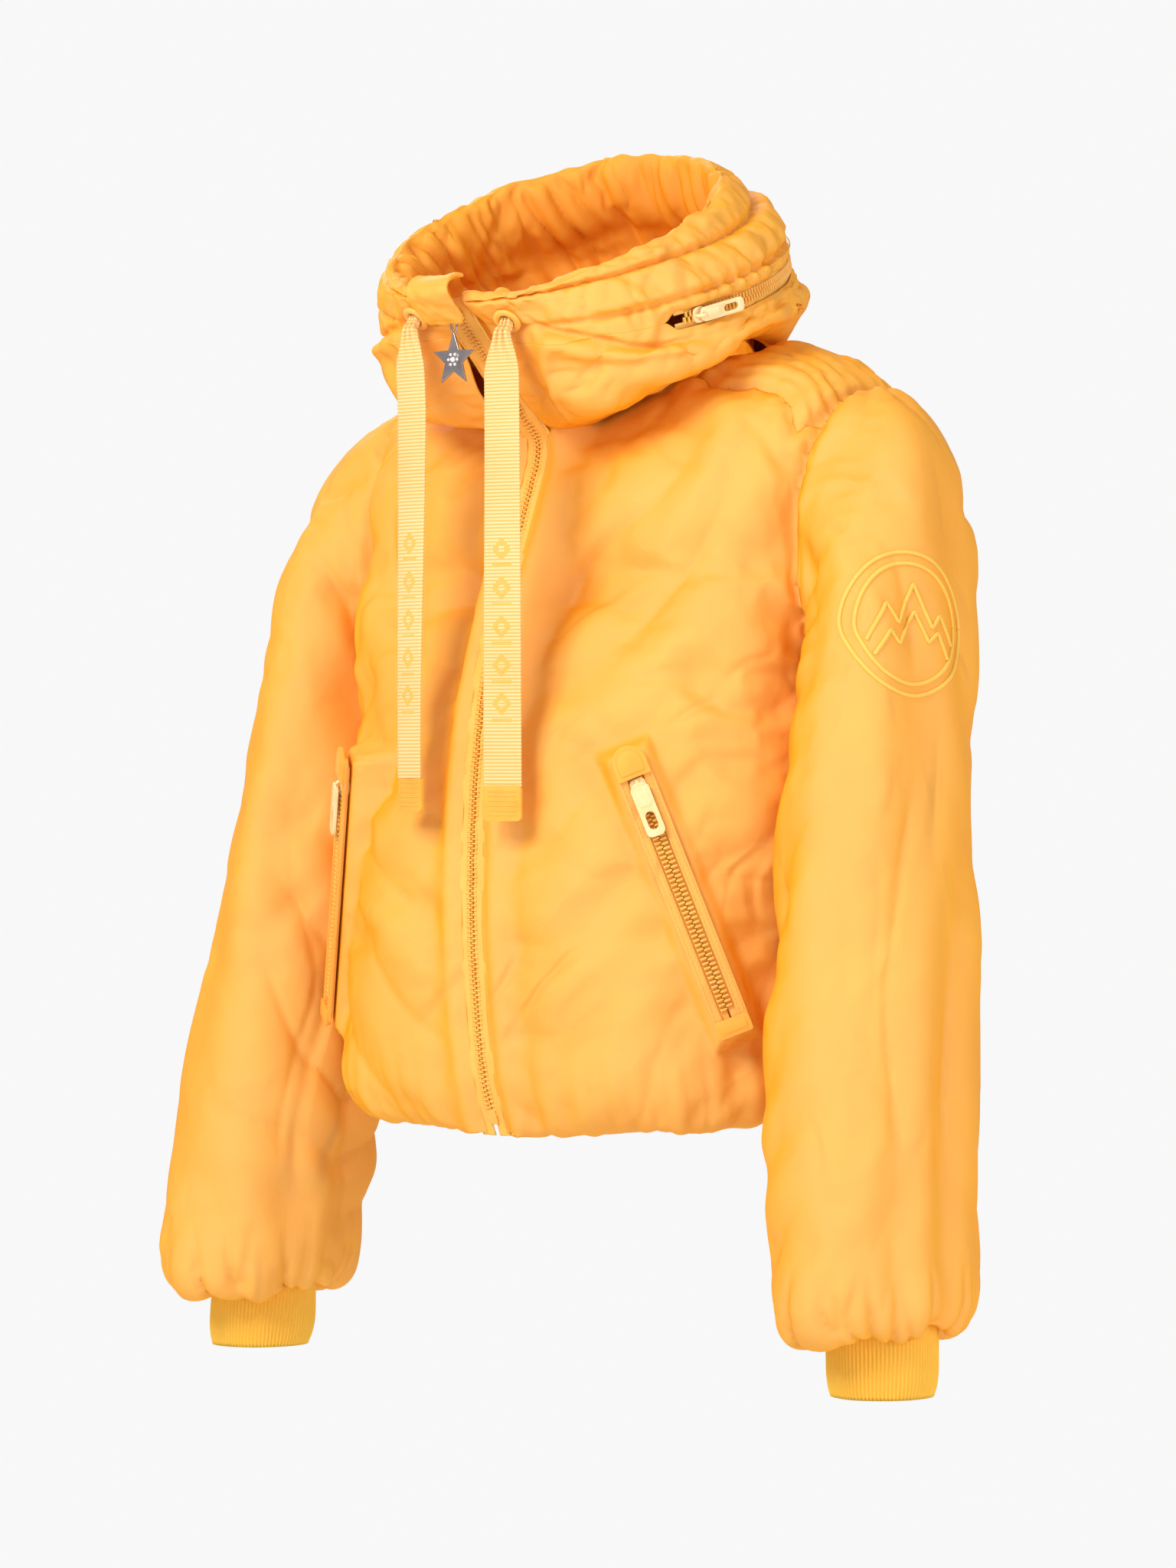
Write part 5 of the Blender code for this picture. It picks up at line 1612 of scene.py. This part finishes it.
def build_ribbon(label, side):
    pivot = joint_point(f"ribbon_{label}_swing")
    eyelet = eyelet_frame(side)
    out = (eyelet.to_3x3() @ Vector((0, 0, 1))).normalized()
    out = out if out.y < 0 else -out
    hole = eyelet.translation
    start = [hole - out * 0.010 + Vector((0, 0, 0.001)), hole + out * 0.0015 + Vector((0, 0, 0.0012))]
    start += [hole + out * 0.0062 + Vector((0, 0, -0.0016)), pivot + Vector((0, -0.0016, -0.0085))]
    top = [tuple(p) for p in start] + [tuple(pivot + Vector((0, -0.0012, -0.024)))]
    down = []
    for t in (0.12, 0.28, 0.46, 0.64, 0.82, 1.0):
        sway = Vector((0.0006 * math.sin(5 * t), -0.0010 * math.sin(3.1 * t + side), -0.024 - 0.269 * t))
        down.append(tuple(pivot + sway))
    rows, columns = RIBBON_ROWS, RIBBON_COLUMNS
    line, length = smooth_path(top + down, rows)

    def surface(u, v):
        i = round(v * rows)
        point = line[i]
        drop = v * length
        ahead = (line[min(i + 1, rows)] - line[max(i - 1, 0)]).normalized()
        opened = float(ease(0.012, 0.050, drop))
        width = 0.0076 + (RIBBON_WIDTH - 0.0076) * opened
        lateral = (u - 0.5) * width
        turn = math.radians(side * (6 + 10 * float(ease(0.03, 0.3, drop))))
        across = Vector((math.cos(turn), math.sin(turn), 0))
        normal = across.cross(ahead).normalized()
        normal = normal if normal.y < 0 else -normal
        bunch = (1 - opened) * 0.0022 * math.cos(3 * math.pi * (u - 0.5) * 2)
        rib = 0.00028 * math.cos(2 * math.pi * drop / (RIB_ROWS * length / rows))
        cup = 0.0008 * math.cos(math.pi * (u - 0.5)) * opened
        return point + across * lateral + normal * (bunch + rib + cup)

    made = make_object(f"ribbon_{label}_band", *grid(surface, columns, rows))
    made.data.materials.append(RIBBON)
    made.data.materials.append(RIBBON_MARK)
    made.data.materials.append(RIBBON_GROOVE_SHADE)
    # marked faces carry the woven pattern; one row of faces in every rib gets the painted shade of a groove
    for face in made.data.polygons:
        column, row = face.index % columns, face.index // columns
        if is_marked(((column + 0.5) / columns - 0.5) * RIBBON_WIDTH, (row + 0.5) / rows * length):
            face.material_index = 1
        elif row % RIB_ROWS == 0:
            face.material_index = 2
    thicken(made, 0.0011, 0.0)
    band = place(made, None, None, "ribbon")
    free = pivot + Vector((0, -0.0016, -0.024)) + TO_FRAME
    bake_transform(band, "jacket", f"ribbon_{label}", hole + TO_FRAME, free)
    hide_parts(f"drawcord_{label}")
    below = pivot - Vector((0, 0, RIBBON_DROP + 0.0105))
    turn = math.radians(side * 16)
    tip_at = axes_at(below, Vector((math.cos(turn), math.sin(turn), 0)), Vector((0, 0, 1)))
    if (tip_at.to_3x3() @ Vector((0, 0, 1))).y > 0:
        tip_at = tip_at @ Matrix.Rotation(math.pi, 4, "Y")
    outline = rounded(RIBBON_WIDTH + 0.0006, 0.0225, 0.0032, 6)
    parts = [slab("tip", outline, 0.0024, tip_at, bevel=0.0006, segments=3)]
    for y in (-0.0075, -0.0045, -0.0015, 0.0015, 0.0045, 0.0075):
        bar = rounded(RIBBON_WIDTH - 0.006, 0.0007, 0.0003, 2, (0, y))
        parts.append(slab("bar", bar, 0.0004, tip_at, z=0.0013, bevel=0))
    tip = joined(f"ribbon_{label}_tip", parts)
    place(tip, f"ribbon_{label}", TRIM, "soft_trim", f"drawcord_tip_{label}")
    at = eyelet if (eyelet.to_3x3() @ Vector((0, 0, 1))).y < 0 else eyelet @ Matrix.Rotation(math.pi, 4, "Y")
    ring = turned(f"eyelet_ring_{label}", EYELET_PROFILE, at)
    place(ring, "jacket", RING, "eyelet", f"eyelet_{label}")
    # painted shade: a dark disc inside the eyelet's ring stands for the shade in its hole
    dark = slab(f"eyelet_painted_shade_{label}", circle(0.0056, 24), 0.0006, at, z=0.0004, bevel=0)
    place(dark, "jacket", PAINTED_HOLE_SHADE, "lining")


# ---------------------------------------------------------------- cuffs, linings, loop


def build_cuff(label, side):
    ribs, per_rib = 84, 6

    def surface(u, v):
        a = 2 * math.pi * u
        inside = v > 0.55
        s = v / 0.55 if not inside else 1 - (v - 0.55) / 0.45 * 0.75
        height = -0.094 - 0.066 * s
        swell = 0.0010 * math.sin(math.pi * min(s, 1.0)) - 0.0012 * float(ease(0.75, 1.0, s))
        radius = -0.0022 if inside else 0.0
        roll = 0.0010 * (1 - float(ease(0.0, 0.05, abs(v - 0.55))))
        fold = 0.0012 * noise.noise(Vector((math.cos(a) * 1.5, math.sin(a) * 1.5, s * 2.0 + side)))
        rib = 0.00055 * math.cos(ribs * a) * (1.0 if not inside else 0.5)
        grow = swell + radius - roll + rib + fold
        x = 0.2600 + 0.003 * s + (0.0328 + grow) * math.cos(a)
        y = -0.0770 - 0.003 * s - (0.0348 + grow) * math.sin(a)
        return Vector((side * x, y, height))

    made = make_object(f"cuff_{label}_knit", *grid(surface, ribs * per_rib, 44, wrap=True))
    outward(made)
    place(made, f"sleeve_{label}", RIB, "rib_knit", f"cuff_{label}")


def build_sleeve_lining(label, side):
    def surface(u, v):
        step = 0.6 + 10.4 * v
        turn = 2 * math.pi * u
        fold = 0.0030 * noise.noise(Vector((math.cos(turn) * 2, math.sin(turn) * 2, step)))
        return sleeve_point(step, turn, side, 0.026 + fold)

    made = make_object(f"sleeve_{label}_lining_tube", *grid(surface, 72, 60, wrap=True))
    thicken(made, 0.0008)
    place(made, None, LINING, "lining")
    bend_at_shoulder(made, label)
    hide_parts(f"sleeve_lining_{label}")


def build_body_lining():
    for name, low, high, nodes in (
        ("lining_left_half", 5.5, 90, ("front_left_lining",)),
        ("lining_right_half", -90, -5.5, ("front_right_lining",)),
        ("lining_back", 90, 270, ("back_lining",)),
    ):

        def surface(u, v, low=low, high=high):
            angle = low + (high - low) * u
            height = 0.012 + (BODY_LENGTH - 0.030) * v
            fold = 0.0035 * noise.noise(Vector((angle / 16, height * 9, 2.2)))
            gather = 0.0020 * noise.noise(Vector((angle / 3.5, 1.0, 0.4))) * float(ease(0.09, 0.02, height))
            return torso_point(angle, height, 0.0215 + fold + gather)

        made = make_object(name, *grid(surface, 80, 70))
        thicken(made, 0.0009)
        place(made, "jacket", LINING, "lining", *nodes)

    def band(u, v):
        angle = 5.5 + 349 * u
        gather = 0.0018 * noise.noise(Vector((angle / 2.4, v * 0.8, 7.0)))
        return torso_point(angle, 0.004 + 0.030 * v, 0.0125 + gather - 0.002 * math.sin(math.pi * v))

    made = make_object("hem_band_inner", *grid(band, 320, 10))
    thicken(made, 0.0020)
    place(made, "jacket", NYLON, "body_shell", "hem_elastic")


def build_loop():
    """The hanging loop in the back of the neck: a soft tape, its ends sewn down."""
    def surface(u, v):
        a = math.pi * v
        across = (u - 0.5) * 2
        x = 0.0300 * math.cos(a) * (1 - 0.1 * math.sin(a))
        y = 0.0490 + 0.00128 * across + 0.001 * math.sin(a)
        z = 0.497 + 0.0158 * math.sin(a) ** 0.6 + 0.0022 * across
        return Vector((x, y, z))

    made = make_object("neck_loop", *grid(surface, 6, 60))
    thicken(made, 0.0016, 0.0)
    place(made, "jacket", RIB, "rib_knit", "hanger_loop")


# ---------------------------------------------------------------- the sleeve's embroidered emblem


def build_emblem(sleeve):
    """A generic badge in raised cord on the left sleeve: an oval round three peaks."""
    tree = tree_of(sleeve)
    out = Vector((0.87, -0.49, 0.05)).normalized()
    centre = Vector((0.274, -0.060, 0.318)) + TO_FRAME
    up = Vector((0.06, 0, 1))
    at = frame_at(centre, up, out)
    oval = [(0.044 * math.cos(a), 0.045 * math.sin(a)) for a in np.linspace(0, 2 * math.pi, 97)]
    inner = [(0.037 * math.cos(a), 0.038 * math.sin(a)) for a in np.linspace(0, 2 * math.pi, 97)]
    peaks = [(-0.032, -0.012), (-0.018, 0.012), (-0.009, 0.000), (0.004, 0.025), (0.017, -0.002)]
    peaks += [(0.023, 0.006), (0.033, -0.012)]
    low = [(-0.028, -0.021), (-0.016, -0.005), (-0.009, -0.013), (0.004, 0.008), (0.014, -0.011)]
    low += [(0.021, -0.005), (0.029, -0.021)]
    parts = []
    for number, outline in enumerate((oval, inner, peaks, low)):
        path, ups = [], []
        for x, y in evenly(outline, 0.0012):
            origin = at @ Vector((x, y, 0.08))
            hit, normal, _, _ = tree.ray_cast(origin, -out, 0.2)
            if hit is None:
                continue
            path.append(hit + normal * 0.0004)
            ups.append(normal)
        parts.append(tube(f"cord_{number}", path, CORD_RADIUS, 8, 0.9, ups))
    emblem = joined("sleeve_emblem", parts)
    emblem.data.materials.clear()
    emblem.data.materials.append(CORD)
    bend_at_shoulder(emblem, "left")


# ---------------------------------------------------------------- stage


def light(name, size, energy, position, target, colour=(1, 1, 1)):
    lamp = bpy.data.lights.new(name, "AREA")
    lamp.size = size
    lamp.energy = energy
    lamp.color = colour
    made = bpy.data.objects.new(name, lamp)
    SCENE.collection.objects.link(made)
    made.location = position
    made.rotation_euler = (Vector(target) - Vector(position)).to_track_quat("-Z", "Y").to_euler()


def backdrop_material():
    """Plain pale paper: seen directly it is evenly lit, and it still catches and sends back light."""
    n = Nodes("pale_floor")
    path = n.add("ShaderNodeLightPath")
    glow = n.add("ShaderNodeEmission")
    glow.inputs["Color"].default_value = (0.94, 0.94, 0.94, 1)
    mix = n.add("ShaderNodeMixShader")
    n.shader.inputs["Base Color"].default_value = (0.85, 0.85, 0.85, 1)
    n.shader.inputs["Roughness"].default_value = 0.9
    n.link(path, "Is Camera Ray", mix, 0)
    n.link(n.shader, 0, mix, 1)
    n.link(glow, 0, mix, 2)
    out = n.tree.nodes["Material Output"]
    n.link(mix, 0, out, "Surface")
    return n.material


def build_stage():
    azimuth = math.radians(40)
    toward = Vector((math.sin(azimuth), -math.cos(azimuth), 0))
    right = Vector((math.cos(azimuth), math.sin(azimuth), 0))
    eye = toward * 3.8 - right * 0.0317 + Vector((0, 0, 0.218)) + TO_FRAME
    camera = bpy.data.cameras.new("camera")
    camera.lens = 132.85
    camera.sensor_width = 36
    view = bpy.data.objects.new("camera", camera)
    SCENE.collection.objects.link(view)
    view.location = eye
    view.rotation_euler = (-toward).to_track_quat("-Z", "Y").to_euler()
    SCENE.camera = view
    middle = Vector((0, 0, 0.25)) + TO_FRAME
    floor_z = TO_FRAME.z - 0.42
    verts, faces = grid(lambda u, v: Vector((12 * (u - 0.5), 12 * (v - 0.5), floor_z)), 1, 1)
    floor = make_object("floor", verts, faces)
    floor.data.materials.append(backdrop_material())
    key = middle + toward * 1.9 - right * 1.5 + Vector((0, 0, 1.5))
    light("key", 1.2, 57, key, middle, (1.0, 0.985, 0.96))
    light("fill", 1.6, 20, middle + toward * 1.7 + right * 1.7 + Vector((0, 0, -0.12)), middle)
    light("rim", 1.0, 14, middle - toward * 1.6 - right * 0.6 + Vector((0, 0, 1.5)), middle)
    world = bpy.data.worlds.new("studio")
    world.use_nodes = True
    SCENE.world = world
    tree = world.node_tree
    background = tree.nodes["Background"]
    background.inputs["Color"].default_value = (0.94, 0.94, 0.94, 1)
    path = tree.nodes.new("ShaderNodeLightPath")
    strength = tree.nodes.new("ShaderNodeMapRange")
    strength.inputs["To Min"].default_value = 0.62
    strength.inputs["To Max"].default_value = 1.0
    tree.links.new(path.outputs["Is Camera Ray"], strength.inputs["Value"])
    tree.links.new(strength.outputs["Result"], background.inputs["Strength"])
    SCENE.view_settings.view_transform = "Standard"


# ---------------------------------------------------------------- the jacket

PANEL_OBJECTS = cut_pieces(build_shell())
dress_shell(PANEL_OBJECTS)
build_collar()
build_front_zip()
build_collar_zip()
for side_label, side_sign in (("left", 1), ("right", -1)):
    build_pocket(side_label)
    build_ribbon(side_label, side_sign)
    build_cuff(side_label, side_sign)
    build_sleeve_lining(side_label, side_sign)
build_body_lining()
build_loop()
build_emblem(PANEL_OBJECTS["sleeve_left_panel"])
build_stage()
